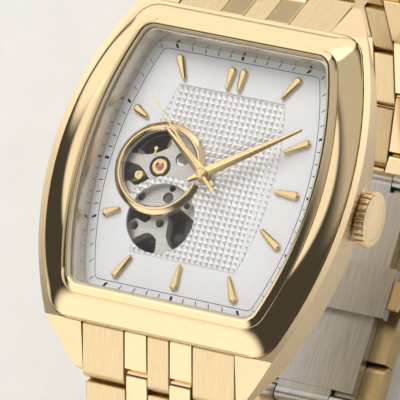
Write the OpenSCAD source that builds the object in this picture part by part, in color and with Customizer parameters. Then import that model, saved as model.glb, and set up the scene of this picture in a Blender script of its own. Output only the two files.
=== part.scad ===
// Tonneau wristwatch with an open-heart dial, an automatic movement and a hinged link bracelet.
// Origin: centre of the case back's outer face, on the hands' axis.
// +Z points out of the dial, +Y to 12 o'clock and +X to the crown at 3 o'clock.

/* [Case] */
// Width of the case across its curved flanks, without the crown
case_w = 39.2; // [38.4:0.1:42]
// Length over the lug tips
lug_to_lug = 49.4; // [48.6:0.1:52]
// Radius of the curved flanks, seen from the front
side_r = 47.5; // [44:0.5:60]
// How far the flanks lean in from the rim to the back
flank_draft = 2.7; // [1.5:0.1:2.8]
// Height of the dial's face above the case back
dial_z = 9.2; // [9.2:0.1:11]
// Radius of the arched upper edge, seen from the side
arch_r = 143; // [120:1:400]
// Height of that edge above the dial, at 3 and 9 o'clock
ledge_h = 1.9; // [1.6:0.1:2.4]
// Clear width between the lugs
lug_gap = 20.1; // [18.5:0.1:21]
// Distance from the centre to the wall between the lugs
lug_wall_y = 18.65; // [18.4:0.05:19]

/* [Bezel and crystal] */
// Width of the bezel
bezel_w = 37.4; // [36.6:0.1:38]
// Length of the bezel, 12 to 6
bezel_l = 40; // [39:0.1:41]
// Radius of the bezel's curved sides
bezel_r = 44; // [41:0.5:55]
// Corner radius of the bezel
bezel_corner = 3.4; // [2:0.1:4.5]
// Width of the opening for the crystal
opening_w = 29.4; // [28.6:0.1:29.8]
// Length of the opening for the crystal
opening_l = 32.4; // [31.6:0.1:32.8]
// Radius of the opening's curved sides
opening_r = 46; // [42:0.5:56]
// Corner radius of the opening
opening_corner = 1.6; // [1:0.1:2.4]
// Width of the raised lip round the crystal
lip_w = 1.1; // [0.8:0.05:1.4]
// Height of the lip's top above the dial
lip_h = 3.35; // [3.2:0.05:3.8]
// Height of the lip above the sloped bezel
lip_step = 0.7; // [0.3:0.05:0.9]
// Thickness of the crystal
crystal_t = 0.75; // [0.7:0.05:1]
// Width of the seal round the crystal
seal_w = 0.12; // [0.08:0.02:0.3]

/* [Dial] */
// Thickness of the dial
dial_t = 0.4; // [0.3:0.05:0.5]
// Width of the dial
dial_w = 30; // [29.4:0.1:30.2]
// Length of the dial
dial_l = 33.2; // [32.6:0.1:33.4]
// Foot of the sloped ring round the dial, at the sides
ring_foot_w = 1.2; // [1:0.05:1.5]
// Foot of that ring, at the ends
ring_foot_l = 1.25; // [1:0.05:1.5]
// Centre of the open heart, left of the hands
heart_x = -6.2; // [-6.6:0.05:-6]
// Outer radius of the ring round the open heart
heart_ring_r = 5.75; // [5.4:0.05:6]
// Width of the ring round the open heart
heart_ring_w = 1; // [0.7:0.05:1.2]
// Height of the ring above the dial
heart_ring_h = 0.55; // [0.3:0.05:0.7]
// Radius of the lower window
window_r = 4.3; // [3.8:0.05:4.4]
// Width of the strip of dial between the two windows
strip_w = 0.9; // [0.6:0.05:1.2]
// Length of a long hour marker
marker_l = 2.9; // [2:0.1:3.1]
// Width of a marker at its outer end
marker_w = 0.86; // [0.6:0.02:1]
// Height of a marker
marker_h = 0.5; // [0.3:0.05:0.7]

/* [Hands] */
// Length of the hour hand
hour_l = 8.1; // [7:0.1:9]
// Length of the minute hand
minute_l = 13.1; // [11:0.1:13.3]
// Length of the seconds hand
seconds_l = 12.8; // [11:0.1:13.3]
// Hours shown
show_hours = 10.2; // [0:0.1:12]
// Minutes shown
show_minutes = 9.1; // [0:0.1:60]
// Seconds shown
show_seconds = 52; // [0:1:60]

/* [Crown] */
// Radius of the crown
crown_rad = 3.35; // [2.9:0.05:3.4]
// Length of the crown's fluted part, with its skirt
crown_len = 2; // [1.9:0.1:2.6]
// How deep that skirt sits in its seat in the flank
crown_sink = 0.9; // [0.6:0.05:1]
// Height of the crown's domed end
crown_dome = 0.45; // [0.35:0.05:0.9]
// Number of flutes
crown_flutes = 26; // [18:1:32]
// How far the crown's axis lies below the dial's face
crown_drop = 4.15; // [4.15:0.05:4.3]

/* [Movement] */
// Radius of the movement
move_r = 13; // [12.8:0.05:13.2]
// Thickness of the main plate
plate_t = 1.6; // [1.4:0.05:1.7]
// Thickness of the bridges
bridge_t = 0.8; // [0.6:0.05:0.8]
// Radius of the balance wheel
balance_r = 4.7; // [4:0.1:4.8]
// Radius of the rotor's weight
rotor_r = 12.6; // [11.5:0.1:12.8]

/* [Bracelet] */
// Width of the first row of links
row_w = 19.2; // [17.5:0.1:19.6]
// How much narrower each row is than the row before
row_taper = 0.12; // [0:0.01:0.2]
// Thickness of the links
link_t = 2.6; // [2.3:0.05:2.8]
// Radius of the link pins
pin_r = 0.55; // [0.4:0.01:0.6]
// Gap between neighbouring links
link_gap = 0.08; // [0.06:0.01:0.15]
// Droop of the end links below the dial, in degrees
end_droop = 39; // [37:0.5:41]
// Droop of each row below the dial, from the case to the clasp, in degrees
row_droop = [40, 61, 80.5, 98, 116, 134.5, 156, 180, 180];

/* [Clasp] */
// Length of each clasp arm between its pins, measured flat
arm_l = 13.2; // [11:0.1:13.4]
// Thickness of the clasp's blades
blade_t = 0.88; // [0.7:0.02:0.9]
// Width of the clasp's blades
blade_w = 13; // [11:0.1:13.6]
// Travel of the two release buttons
button_travel = 0.7; // [0.4:0.05:0.8]

/* [Clearances] */
// Sliding and seating clearance of the case's parts
fit = 0.05; // [0.03:0.01:0.06]
// Running clearance of pins and pivots
run = 0.04; // [0.02:0.01:0.06]

/* [Hidden] */
$fn = 64;

GOLD = "#E8C27A";
STEEL = "#C9CBCD";
BRASS = "#C9A24B";

// Case levels and outlines
back_t = 1.4;                       // thickness of the case back
back_flange = 1;                    // height of the back's flange inside the case
glass_r = move_r - 1.5;             // radius of the back's glass
window_c = [-4.3, -5.9];            // centre of the lower window
bezel_z = dial_z + 0.2;             // underside of the bezel
lip_z = dial_z + lip_h;             // top of the lip
crystal_z = lip_z - 0.65;           // underside of the crystal
ring_open_w = dial_w - 2 * ring_foot_w;   // dial left open by the sloped ring
ring_open_l = dial_l - 2 * ring_foot_l;
cavity_w = dial_w + 0.4;
cavity_l = dial_l + 0.4;
cavity_r = side_r - 2;
cavity_corner = 2;
tip_z = dial_z - 3.7;               // upper edge of a lug tip
crown_z = dial_z - crown_drop;
cap_x = case_w / 2 + 0.12           // where the crown's cap clears the flank
    - flank_draft * (1 - (crown_z + crown_rad) / (dial_z + ledge_h));
crown_x = cap_x - crown_sink;       // inner face of its skirt
big = 60;

// Movement levels, from the back to the dial
rotor_z = back_t + 0.25;
bridge_z = back_t + 1.7;
train_z = bridge_z + bridge_t;      // floor of the space for the wheels
plate_z = dial_z - dial_t - 1 - plate_t;
plate_top = plate_z + plate_t;
balance_c = [-6.7, 0.4];
barrel_c = [2.2, 6.06];
barrel_r = 5.3;
third_c = [1.29, -4.83];
escape_c = [-4.32, -1.57];
pallet_c = [-5.6, -0.75];
arbor_r = 0.2;
jewel_r = 0.55;
balance_hole_r = balance_r + 0.3;
heart_bridge_t = 0.45;
// Openings of the main plate under the lower window, and its round holes [x, y, radius]
plate_left = [[-9.3, -7.4], [-8.8, -7.3], [-8.6, -6.6], [-8.1, -6.2], [-7.5, -6.2],
    [-7.1, -6.4], [-6.7, -6.5], [-6.3, -6.2], [-6.1, -5.8], [-6.3, -5.3], [-7.4, -5.1],
    [-9.4, -4.7]];
plate_lower = [[-8.1, -9.2], [-7.1, -8.3], [-6.4, -7.8], [-5.8, -7.6], [-5.3, -7.8],
    [-4.7, -8.2], [-4.5, -9], [-4.4, -9.9], [-4.6, -11], [-6.8, -10.6]];
plate_right = [[-4.6, -4.8], [-4, -5.3], [-3.8, -5.8], [-3.7, -6.8], [-3.6, -7.6], [-3, -8.5],
    [-2.5, -8.9], [-1.2, -9.2], [0.1, -7.6], [0.3, -5.7], [-0.9, -5], [-1.4, -4.7],
    [-2.2, -4.3], [-3.2, -3.8], [-4.1, -4.4]];
plate_holes = [[-7.9, -7.1, 0.48], [-4.8, -6.2, 0.52], [-2.1, -3.5, 0.4]];
// Edge of the bridge in the open heart, and its round holes [x, y, radius]
heart_bridge_edge = [[-11.4, 0.3], [-10.4, 0.2], [-9.4, 0.1], [-8.7, -0.3], [-8, -0.9],
    [-7.6, -1.3], [-8.6, -2.2], [-9.2, -2.4], [-10.1, -2], [-10.7, -2.3], [-10.3, -3.6],
    [-8.6, -4.8], [-6.2, -5.6], [-4.4, -5.4], [-3.6, -4.6], [-2.6, -3.2], [-1.3, -2],
    [-1.3, 2], [-1.8, 4.2], [-4, 6], [-7, 6.2], [-7.5, 5.2], [-6.3, 4], [-6.1, 3.4],
    [-6.2, 2.9], [-7.2, 2.2], [-8.2, 1.7], [-9.3, 1.4], [-10.3, 1.4], [-11.3, 1.4]];
heart_holes = [[-4.2, 1.8, 0.85], [-4.3, -1.9, 0.4], [-4.5, -3.1, 0.66], [-7.9, -3.5, 0.53]];

// Hands
hour_hand_z = dial_z + 1.0;
minute_hand_z = dial_z + 1.6;
seconds_hand_z = dial_z + 2.1;
hand_t = 0.18;
tube_r = 1.0;
cannon_r = 0.7;
pinion_r = 0.62;
fourth_r = 3.95;
seconds_bore_r = 0.28;
seconds_arbor_r = 0.2;

// Bracelet: end link pin, pitch of the rows and the pins they lie on
lug_pin = [24.1 + (lug_to_lug - 49.4) / 2, dial_z - 4.7];
clasp_pin_y = link_t / 2 + 0.15;
rows = len(row_droop);
function sum_cos(i = 0) = i == rows ? 0 : cos(row_droop[i]) + sum_cos(i + 1);
pitch = (lug_pin[0] - clasp_pin_y) / -sum_cos();
function pin_at(i) = i == 0 ? lug_pin
    : pin_at(i - 1) + pitch * [cos(row_droop[i - 1]), -sin(row_droop[i - 1])];
clasp_pin = pin_at(rows);
base_pin = [clasp_pin_y + arm_l, clasp_pin[1] + link_t / 2 + 1.15];
shoulder = link_t / 2 + link_gap;   // flat end of a link, from the neighbour's pin
share_outer = 0.277;                // share of a row's width in each brushed outer piece
share_inter = 0.15;                 // share of a row's width in each polished piece
bar_s = 3.4;                        // spring bar, back from the end link's pin
bar_r = 0.75;
bar_pin = lug_pin + bar_s * [-cos(end_droop), sin(end_droop)];
clasp_pin_r = 0.35;
open_pivot = 0.38;                  // play of the pivot where the loop closes

// Outline of a barrel shape with rounded corners, counter-clockwise
function barrel_half(w, l, r, c, n = 8, m = 5) =
    let (cx = w / 2 - r, fy = l / 2 - c, a0 = asin(fy / (r - c)), fx = cx + (r - c) * cos(a0))
    concat(
        [for (j = [m:-1:1]) let (a = -a0 - (90 - a0) * j / m) [fx + c * cos(a), -fy + c * sin(a)]],
        [for (i = [-n:n]) let (a = a0 * i / n) [cx + r * cos(a), r * sin(a)]],
        [for (j = [1:m]) let (a = a0 + (90 - a0) * j / m) [fx + c * cos(a), fy + c * sin(a)]]);
function barrel_outline(w, l, r, c) =
    let (h = barrel_half(w, l, r, c))
    concat(h, [for (i = [len(h) - 1:-1:0]) [-h[i][0], h[i][1]]]);

module barrel_plate(w, l, r, c, h) {
    linear_extrude(h) polygon(barrel_outline(w, l, r, c));
}

// Extrudes an outline drawn in (y, z) along X, centred
module along_x(w) {
    rotate([90, 0, 90]) linear_extrude(w, center = true) children();
}

// Cylinder along X between two places
module rod_x(x0, x1, r) {
    translate([x0, 0, 0]) rotate([0, 90, 0]) cylinder(h = x1 - x0, r = r);
}

module at(c, z) {
    translate([c[0], c[1], z]) children();
}

// Spur gear with straight-sided teeth, tip radius r
module gear(teeth, r, depth, h) {
    step = 360 / teeth;
    pts = [for (i = [0:teeth - 1]) each [
        [r - depth, (i - 0.3) * step], [r, (i - 0.14) * step],
        [r, (i + 0.14) * step], [r - depth, (i + 0.3) * step]]];
    linear_extrude(h) polygon([for (p = pts) [p[0] * cos(p[1]), p[0] * sin(p[1])]]);
}

// Gear with a hub hole and open spokes
module spoked_wheel(teeth, r, depth, h, spokes, hub) {
    difference() {
        gear(teeth, r, depth, h);
        for (i = [0:spokes - 1]) rotate(360 / spokes * i) translate([(r + hub) / 2 - 0.2, 0, -1])
            cylinder(h = h + 2, r = min((r - hub) * 0.3, PI * r / spokes * 0.42));
    }
}

// ---- Case ----

module flank(side) {
    top = dial_z + ledge_h;
    translate([side * (case_w / 2 - side_r), 0, 0])
        cylinder(h = top, r1 = side_r - flank_draft, r2 = side_r, $fn = 128);
}

module case_profile() {
    half = bezel_l / 2;
    tip = lug_to_lug / 2;
    arch = [for (i = [-10:10]) let (y = half * i / 10)
        [y, dial_z + ledge_h - 0.001 - y * y / (2 * arch_r)]];
    polygon(concat(
        [[-tip + 5.2, back_t], [-tip + 2.6, back_t + 0.9], [-tip + 0.5, tip_z - 2.4],
            [-tip, tip_z - 0.8], [-tip + 0.12, tip_z]],
        arch,
        [[tip - 0.12, tip_z], [tip, tip_z - 0.8], [tip - 0.5, tip_z - 2.4],
            [tip - 2.6, back_t + 0.9], [tip - 5.2, back_t]]));
}

module case_middle() {
    color(GOLD) difference() {
        intersection() {
            flank(1);
            flank(-1);
            along_x(case_w + 2) case_profile();
        }
        translate([0, 0, -1]) barrel_plate(cavity_w, cavity_l, cavity_r, cavity_corner, big);
        translate([0, 0, bezel_z])
            barrel_plate(bezel_w + 2 * fit, bezel_l + 2 * fit, bezel_r, bezel_corner, big);
        for (s = [-1, 1]) translate([-lug_gap / 2, s > 0 ? lug_wall_y : -lug_wall_y - 10, -1])
            cube([lug_gap, 10, big]);
        for (s = [-1, 1]) translate([0, s * bar_pin[0], bar_pin[1]])
            rod_x(-lug_gap / 2 - 1.2, lug_gap / 2 + 1.2, bar_r + run);
        translate([0, 0, crown_z]) rod_x(10, case_w, 0.85);
        translate([0, 0, crown_z]) rod_x(case_w / 2 - 2.9, case_w, 1.45 + fit);
        translate([0, 0, crown_z]) rod_x(crown_x - 0.1, case_w, crown_rad + 0.2);
        back_screw_places() translate([0, 0, back_t - 1]) cylinder(h = 3.1, r = 0.42);
    }
}

module bezel() {
    shelf_w = opening_w + 2 * lip_w;
    shelf_l = opening_l + 2 * lip_w;
    color(GOLD) difference() {
        union() {
            hull() {
                translate([0, 0, bezel_z + 0.3]) barrel_plate(shelf_w, shelf_l,
                    opening_r + lip_w, opening_corner + lip_w, lip_h - lip_step - 0.5);
                intersection() {
                    translate([0, 0, bezel_z])
                        barrel_plate(bezel_w, bezel_l, bezel_r, bezel_corner, 3);
                    translate([0, 0, dial_z + ledge_h + 0.3 - arch_r]) rotate([0, 90, 0])
                        cylinder(h = big, r = arch_r, center = true, $fn = 256);
                }
            }
            translate([0, 0, bezel_z + 0.3]) barrel_plate(shelf_w, shelf_l,
                opening_r + lip_w, opening_corner + lip_w, lip_h - 0.5);
        }
        translate([0, 0, crystal_z]) barrel_plate(opening_w, opening_l, opening_r,
            opening_corner, big);
        translate([0, 0, dial_z - 1]) barrel_plate(dial_w + 2 * fit, dial_l + 2 * fit,
            cavity_r, cavity_corner, crystal_z - dial_z + 1.01);
    }
}

module crystal() {
    color("#E9F3F7", 0.3) translate([0, 0, crystal_z]) barrel_plate(opening_w - 2 * seal_w,
        opening_l - 2 * seal_w, opening_r - seal_w, opening_corner - seal_w, crystal_t);
}

module gaskets() {
    color("#202022") difference() {
        translate([0, 0, crystal_z]) barrel_plate(opening_w, opening_l, opening_r,
            opening_corner, 0.4);
        translate([0, 0, crystal_z - 1]) barrel_plate(opening_w - 2 * seal_w,
            opening_l - 2 * seal_w, opening_r - seal_w, opening_corner - seal_w, big);
    }
    color("#202022") difference() {
        translate([0, 0, back_t]) barrel_plate(cavity_w - 2 * fit, cavity_l - 2 * fit,
            cavity_r, cavity_corner, 0.5);
        translate([0, 0, -1]) barrel_plate(cavity_w - 1.2, cavity_l - 1.2,
            cavity_r - 0.5, cavity_corner, big);
    }
}

module rehaut_ring() {
    h = crystal_z - dial_z;
    steps = 4;
    color("#E3D9C4") difference() {
        translate([0, 0, dial_z]) barrel_plate(dial_w, dial_l, cavity_r, cavity_corner, h);
        for (i = [0:steps - 1]) translate([0, 0, dial_z + h * i / steps - (i == 0 ? 1 : 0)])
            barrel_plate(ring_open_w + 0.9 * i / steps, ring_open_l + 0.9 * i / steps,
                opening_r - 0.6, opening_corner, h + 2);
    }
}

module back_screw_places() {
    for (x = [-1, 1], y = [-1, 1]) translate([x * case_w * 0.29, y * (cavity_l / 2 + 0.75), 0]) children();
}

module case_back() {
    color(GOLD) difference() {
        union() {
            intersection() {
                translate([case_w / 2 - side_r, 0, 0])
                    cylinder(h = back_t, r = side_r - flank_draft - 0.6, $fn = 128);
                translate([side_r - case_w / 2, 0, 0])
                    cylinder(h = back_t, r = side_r - flank_draft - 0.6, $fn = 128);
                translate([-big / 2, -lug_wall_y + 0.05, 0])
                    cube([big, 2 * lug_wall_y - 0.1, back_t]);
            }
            translate([0, 0, back_t]) barrel_plate(cavity_w - 1.3, cavity_l - 1.3,
                cavity_r - 0.5, cavity_corner, back_flange);
        }
        translate([0, 0, -1]) cylinder(h = 3, r = glass_r - 0.7);
        translate([0, 0, 0.5]) cylinder(h = 5, r = glass_r);
        translate([0, 0, back_t]) cylinder(h = 5, r = move_r + 0.4);
        back_screw_places() {
            translate([0, 0, -1]) cylinder(h = 4, r = 0.42);
            translate([0, 0, -0.5]) cylinder(h = 1.05, r = 0.85);
        }
    }
}

module back_glass() {
    color("#E9F3F7", 0.3) {
        cylinder(h = 0.51, r = glass_r - 0.7 - fit);
        translate([0, 0, 0.5]) cylinder(h = back_t - 0.5, r = glass_r - fit);
    }
}

module back_screws() {
    color(GOLD) back_screw_places() difference() {
        union() {
            translate([0, 0, 0.05]) cylinder(h = 0.5, r = 0.8);
            translate([0, 0, 0.3]) cylinder(h = 3, r = 0.4);
        }
        translate([-1, -0.12, -0.5]) cube([2, 0.24, 0.8]);
    }
}

// ---- Dial ----

module dial() {
    color("#E8E8E8") difference() {
        translate([0, 0, dial_z - dial_t]) barrel_plate(dial_w, dial_l, cavity_r,
            cavity_corner, dial_t);
        difference() {
            at([heart_x, 0], dial_z - 2) cylinder(h = 4, r = heart_ring_r - heart_ring_w);
            at(window_c, dial_z - 3) cylinder(h = 6, r = window_r + strip_w);
        }
        at(window_c, dial_z - 2) cylinder(h = 4, r = window_r);
        at([0, 0], dial_z - 2) cylinder(h = 4, r = tube_r + 0.3);
        translate([-6.8, -10.5, dial_z - 0.1]) cube([13.6, 21, 1]);
        at([heart_x, 0], dial_z - 0.1) cylinder(h = 1, r = heart_ring_r - 0.5);
    }
}

module heart_ring() {
    color(GOLD) difference() {
        union() {
            at([heart_x, 0], dial_z - 0.1) cylinder(h = heart_ring_h * 0.6 + 0.1, r = heart_ring_r);
            at([heart_x, 0], dial_z) cylinder(h = heart_ring_h,
                r = heart_ring_r - heart_ring_w * 0.45);
        }
        at([heart_x, 0], dial_z - 1) cylinder(h = 4, r = heart_ring_r - heart_ring_w);
        at([0, 0], dial_z - 1) cylinder(h = 4, r = tube_r + 0.3);
        difference() {
            at([heart_x, 0], dial_z - 1) cylinder(h = 1, r = heart_ring_r + 1);
            translate([-6.8, -10.5, dial_z - 1.5]) cube([13.6, 21, 2]);
        }
    }
}

// Tapered baton from its inner end towards its outer end
module baton(l, w) {
    linear_extrude(marker_h) polygon([[0, -w * 0.28], [l - w / 2, -w / 2], [l - w / 2, w / 2],
        [0, w * 0.28]]);
    translate([l - w / 2, 0, 0]) cylinder(h = marker_h, r = w / 2);
}

module marker(c, l, toward) {
    at([c[0] * ring_open_w / 27.6, c[1] * ring_open_l / 30.7], dial_z) rotate(toward) baton(l, marker_w);
}

module hour_markers() {
    color(GOLD) {
        for (sx = [-1, 1], sy = [-1, 1]) {
            marker([sx * 6.35, sy * 11.0], marker_l, atan2(sy * 2.6, sx * 1.4));
            if (sx > 0) marker([9.0, sy * 4.95], marker_l - 0.35, atan2(sy * 1.45, 2.1));
        }
        for (sy = [-1, 1]) marker([-9.5, sy * 5.7], marker_l - 1.0, atan2(sy * 0.75, -1.5));
        marker([9.0, 0], marker_l - 0.1, 0);
        marker([0, -10.8], marker_l, -90);
        for (sx = [-0.75, 0.75]) marker([sx, 10.8], marker_l, 90);
    }
}

// ---- Movement ----

module movement_ring() {
    color("#B8B4AC") difference() {
        translate([0, 0, bridge_z]) barrel_plate(cavity_w - 0.2, cavity_l - 0.2, cavity_r,
            cavity_corner, dial_z - dial_t - bridge_z);
        translate([0, 0, 0]) cylinder(h = 20, r = move_r + fit);
        translate([0, 0, crown_z]) rod_x(0, case_w, 2.1);
    }
}

module main_plate() {
    color(STEEL) difference() {
        at([0, 0], plate_z) cylinder(h = plate_t, r = move_r);
        at(balance_c, plate_z - 1) cylinder(h = 5, r = balance_hole_r);
        at([0, 0], plate_z - 1) cylinder(h = 5, r = cannon_r + run);
        at(third_c, plate_z - 0.1) cylinder(h = 0.8, r = arbor_r + run);
        at(barrel_c, plate_z - 0.1) cylinder(h = 0.8, r = 0.6 + run);
        for (p = plate_holes) at(p, plate_z - 1) cylinder(h = 5, r = p[2]);
        for (o = [plate_left, plate_lower, plate_right]) at([0, 0], plate_z - 1)
            linear_extrude(5) polygon(o);
        heart_screw_places() at([0, 0], plate_z - 1) cylinder(h = 5, r = 0.32);
        bridge_screw_places() at([0, 0], plate_z - 1) cylinder(h = 2.2, r = 0.32);
        for (s = [-1, 1]) at([s * 7, s * 10], plate_z - 1) cylinder(h = 5, r = 0.4);
    }
}

module heart_screw_places() {
    for (p = [[-3.4, 5.1], [-5.3, -4.95]]) translate([p[0], p[1], 0]) children();
}

module heart_bridge() {
    color(STEEL) difference() {
        at([0, 0], plate_top) linear_extrude(heart_bridge_t) polygon(heart_bridge_edge);
        at(balance_c, plate_top - 1) cylinder(h = 3, r = jewel_r + 0.01);
        heart_screw_places() at([0, 0], plate_top - 1) cylinder(h = 3, r = 0.32);
        for (p = heart_holes) at(p, plate_top - 1) cylinder(h = 3, r = p[2]);
        at([0, 0], plate_top - 1) cylinder(h = 3, r = 1.5);
    }
}

module bridge_screw_places() {
    for (p = [[-4.6, 10.6], [9.6, 6.8], [5.4, -10.4], [10.6, -4.2], [-2.6, -11.5], [-10.4, -5]])
        translate([p[0], p[1], 0]) children();
}

// Both back bridges with their legs down to the main plate
module train_bridges() {
    leg = plate_z - train_z;
    color(STEEL) difference() {
        union() {
            at([0, 0], bridge_z) cylinder(h = bridge_t, r = move_r - 0.1);
            difference() {
                at([0, 0], train_z - 0.01) cylinder(h = leg + 0.01, r = move_r - 0.1);
                at([0, 0], train_z - 1) cylinder(h = leg + 2, r = move_r - 1.15);
            }
            bridge_screw_places() at([0, 0], train_z - 0.01) cylinder(h = leg + 0.01, r = 0.75);
        }
        translate([-4.6, 1.2, bridge_z - 1]) rotate(-8) cube([20, 0.4, 8]);
        at(balance_c, bridge_z - 1) cylinder(h = 8, r = 2);
        translate([-20, balance_c[1] - 2.4, bridge_z - 1]) cube([20 + balance_c[0], 4.8, 8]);
        at([0, 0], bridge_z - 1) cylinder(h = 3, r = 0.95);
        for (c = [third_c, escape_c]) at(c, bridge_z - 1) cylinder(h = 3, r = jewel_r + 0.01);
        at(barrel_c, bridge_z - 1) cylinder(h = 3, r = 0.9 + run);
        bridge_screw_places() at([0, 0], bridge_z - 1) cylinder(h = 8, r = 0.32);
        translate([0, 0, crown_z]) rod_x(0, case_w, 1.1);
    }
}

module balance_cock() {
    color(STEEL) difference() {
        union() {
            at(balance_c, bridge_z) cylinder(h = bridge_t - 0.15, r = 1.3);
            at(balance_c, bridge_z) translate([-4.9, -1.3, 0]) cube([4.9, 2.6, bridge_t - 0.15]);
            intersection() {
                at([0, 0], bridge_z) cylinder(h = plate_z - bridge_z, r = move_r - 0.2);
                at([-15, balance_c[1] - 2.2], bridge_z) cube([4.05, 4.4, plate_z - bridge_z]);
            }
        }
        at(balance_c, bridge_z - 1) cylinder(h = 4, r = jewel_r + 0.01);
    }
}

module jewel(c, z, h, hole) {
    at(c, z) difference() {
        cylinder(h = h, r = jewel_r);
        translate([0, 0, -1]) cylinder(h = h + 2, r = hole);
    }
}

module jewels() {
    color("#C2185B") {
        jewel(balance_c, plate_top, 0.45, arbor_r + run);
        jewel(balance_c, bridge_z, bridge_t - 0.15, arbor_r + run);
        for (c = [third_c, escape_c]) jewel(c, bridge_z, bridge_t, arbor_r + run);
    }
}

module screw(head_r, head_h, shank_l) {
    difference() {
        cylinder(h = head_h, r = head_r);
        translate([-2, -0.08, head_h - 0.15]) cube([4, 0.16, 1]);
    }
    translate([0, 0, -shank_l]) cylinder(h = shank_l + 0.01, r = 0.3);
}

module movement_screws() {
    color(BRASS) {
        heart_screw_places() at([0, 0], plate_top + 0.45) screw(0.62, 0.3, 1.4);
        bridge_screw_places() at([0, 0], bridge_z) mirror([0, 0, 1])
            screw(0.7, 0.32, plate_z - bridge_z + 0.8);
    }
}

module hand(l, tail, w_hub, w_max, z) {
    at([0, 0], z) linear_extrude(hand_t) polygon([[-tail, 0.22 * w_max], [0, w_max / 2],
        [l * 0.5, w_max * 0.36], [l, 0.06], [l, -0.06], [l * 0.5, -w_max * 0.36],
        [0, -w_max / 2], [-tail, -0.22 * w_max]]);
    at([0, 0], z) cylinder(h = hand_t, r = w_hub);
}

module hour_hand() {
    color(GOLD) rotate(90 - show_hours * 30) difference() {
        hand(hour_l, 1.6, 1.05, 1.15, hour_hand_z);
        at([0, 0], dial_z - 4) cylinder(h = 9, r = cannon_r + run + 0.14);
    }
}

module hour_wheel() {
    color(BRASS) difference() {
        union() {
            at([0, 0], plate_top + 0.55) spoked_wheel(48, 2.6, 0.25, 0.2, 5, 1.1);
            at([0, 0], plate_top + 0.55)
                cylinder(h = hour_hand_z - plate_top - 0.55, r = tube_r);
        }
        at([0, 0], dial_z - 4) cylinder(h = 9, r = cannon_r + run);
    }
}

module minute_hand() {
    color(GOLD) rotate(90 - show_minutes * 6) difference() {
        hand(minute_l, 1.8, 0.85, 1.05, minute_hand_z);
        at([0, 0], dial_z - 4) cylinder(h = 9, r = seconds_bore_r + 0.12);
    }
}

// Centre wheel with the hollow arbor that carries the minute hand
module center_wheel() {
    color(BRASS) difference() {
        union() {
            at([0, 0], train_z + 1.7) spoked_wheel(64, 4.35, 0.25, 0.2, 5, 1.0);
            at([0, 0], train_z + 1.0) gear(10, 1.1, 0.25, 0.8);
            at([0, 0], train_z + 1.0) cylinder(h = minute_hand_z - train_z - 1, r = cannon_r);
        }
        at([0, 0], 0) cylinder(h = 20, r = seconds_bore_r);
    }
}

module seconds_hand() {
    color(GOLD) rotate(90 - show_seconds * 6) difference() {
        union() {
            at([0, 0], seconds_hand_z) linear_extrude(0.12) polygon([[-3, 0.16], [0, 0.2],
                [seconds_l, 0.04], [seconds_l, -0.04], [0, -0.2], [-3, -0.16]]);
            at([0, 0], seconds_hand_z) cylinder(h = 0.3, r = 0.5);
        }
        at([0, 0], seconds_hand_z - 1) cylinder(h = 1.2, r = seconds_arbor_r + 0.01);
    }
}

// Seconds wheel with the long arbor through the centre
module fourth_wheel() {
    color(BRASS) {
        at([0, 0], train_z + 0.12) spoked_wheel(66, fourth_r, 0.22, 0.16, 5, 0.8);
        at([0, 0], train_z + 0.12) gear(8, pinion_r, 0.18, 0.7);
        at([0, 0], bridge_z + 0.2)
            cylinder(h = seconds_hand_z + 0.1 - bridge_z - 0.2, r = seconds_arbor_r);
    }
}

module third_wheel() {
    color(BRASS) {
        at(third_c, train_z + 0.5) spoked_wheel(60, norm(third_c) - pinion_r - 0.08, 0.22,
            0.16, 5, 0.8);
        at(third_c, train_z + 1.5) gear(8, 0.6, 0.18, plate_z - train_z - 1.6);
        at(third_c, bridge_z + 0.1)
            cylinder(h = plate_z - bridge_z + 0.4, r = arbor_r);
    }
}

module escape_wheel() {
    color(STEEL) {
        at(escape_c, train_z + 1.1) gear(15, 1.2, 0.35, 0.16);
        at(escape_c, train_z + 0.1) gear(7, norm(escape_c) - fourth_r - 0.08, 0.14, 0.4);
        at(escape_c, bridge_z + 0.1) cylinder(h = train_z + 1.6 - bridge_z, r = arbor_r);
    }
}

module pallet_fork() {
    toward_balance = atan2(balance_c[1] - pallet_c[1], balance_c[0] - pallet_c[0]);
    toward_escape = atan2(escape_c[1] - pallet_c[1], escape_c[0] - pallet_c[0]);
    color(STEEL) at(pallet_c, train_z + 1.1) {
        cylinder(h = 0.16, r = 0.24);
        rotate(toward_balance) translate([0, -0.07, 0]) cube([1.05, 0.14, 0.16]);
        for (s = [-1, 1]) rotate(toward_escape + s * 88) translate([0, -0.07, 0])
            cube([1.05, 0.14, 0.16]);
        translate([0, 0, -1]) cylinder(h = 1.5, r = 0.12);
    }
}

module balance_wheel() {
    z = plate_z + 0.7;
    color(BRASS) {
        difference() {
            at(balance_c, z) cylinder(h = 0.4, r = balance_r);
            at(balance_c, z - 1) cylinder(h = 3, r = balance_r - 0.45);
        }
        for (a = [91, 211, 331]) at(balance_c, z + 0.08) rotate(a) translate([0, -0.25, 0])
            cube([balance_r - 0.2, 0.5, 0.24]);
        at(balance_c, bridge_z + 0.1) cylinder(h = plate_top - bridge_z + 0.2, r = arbor_r);
    }
}

function spiral(r0, r1, turns, n) = [for (i = [0:n])
    let (a = 360 * turns * i / n, r = r0 + (r1 - r0) * i / n) [r * cos(a), r * sin(a)]];

module hairspring() {
    wire = 0.06;
    outer = spiral(0.55, 2, 4, 72);
    inner = spiral(0.55 - wire, 2 - wire, 4, 72);
    color("#3F5C8C") {
        at(balance_c, plate_z + 0.2) linear_extrude(0.14)
            polygon(concat(outer, [for (i = [72:-1:0]) inner[i]]));
        difference() {
            at(balance_c, plate_z + 0.17) cylinder(h = 0.2, r = 0.5);
            at(balance_c, plate_z - 1) cylinder(h = 2, r = arbor_r + 0.01);
        }
    }
}

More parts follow.
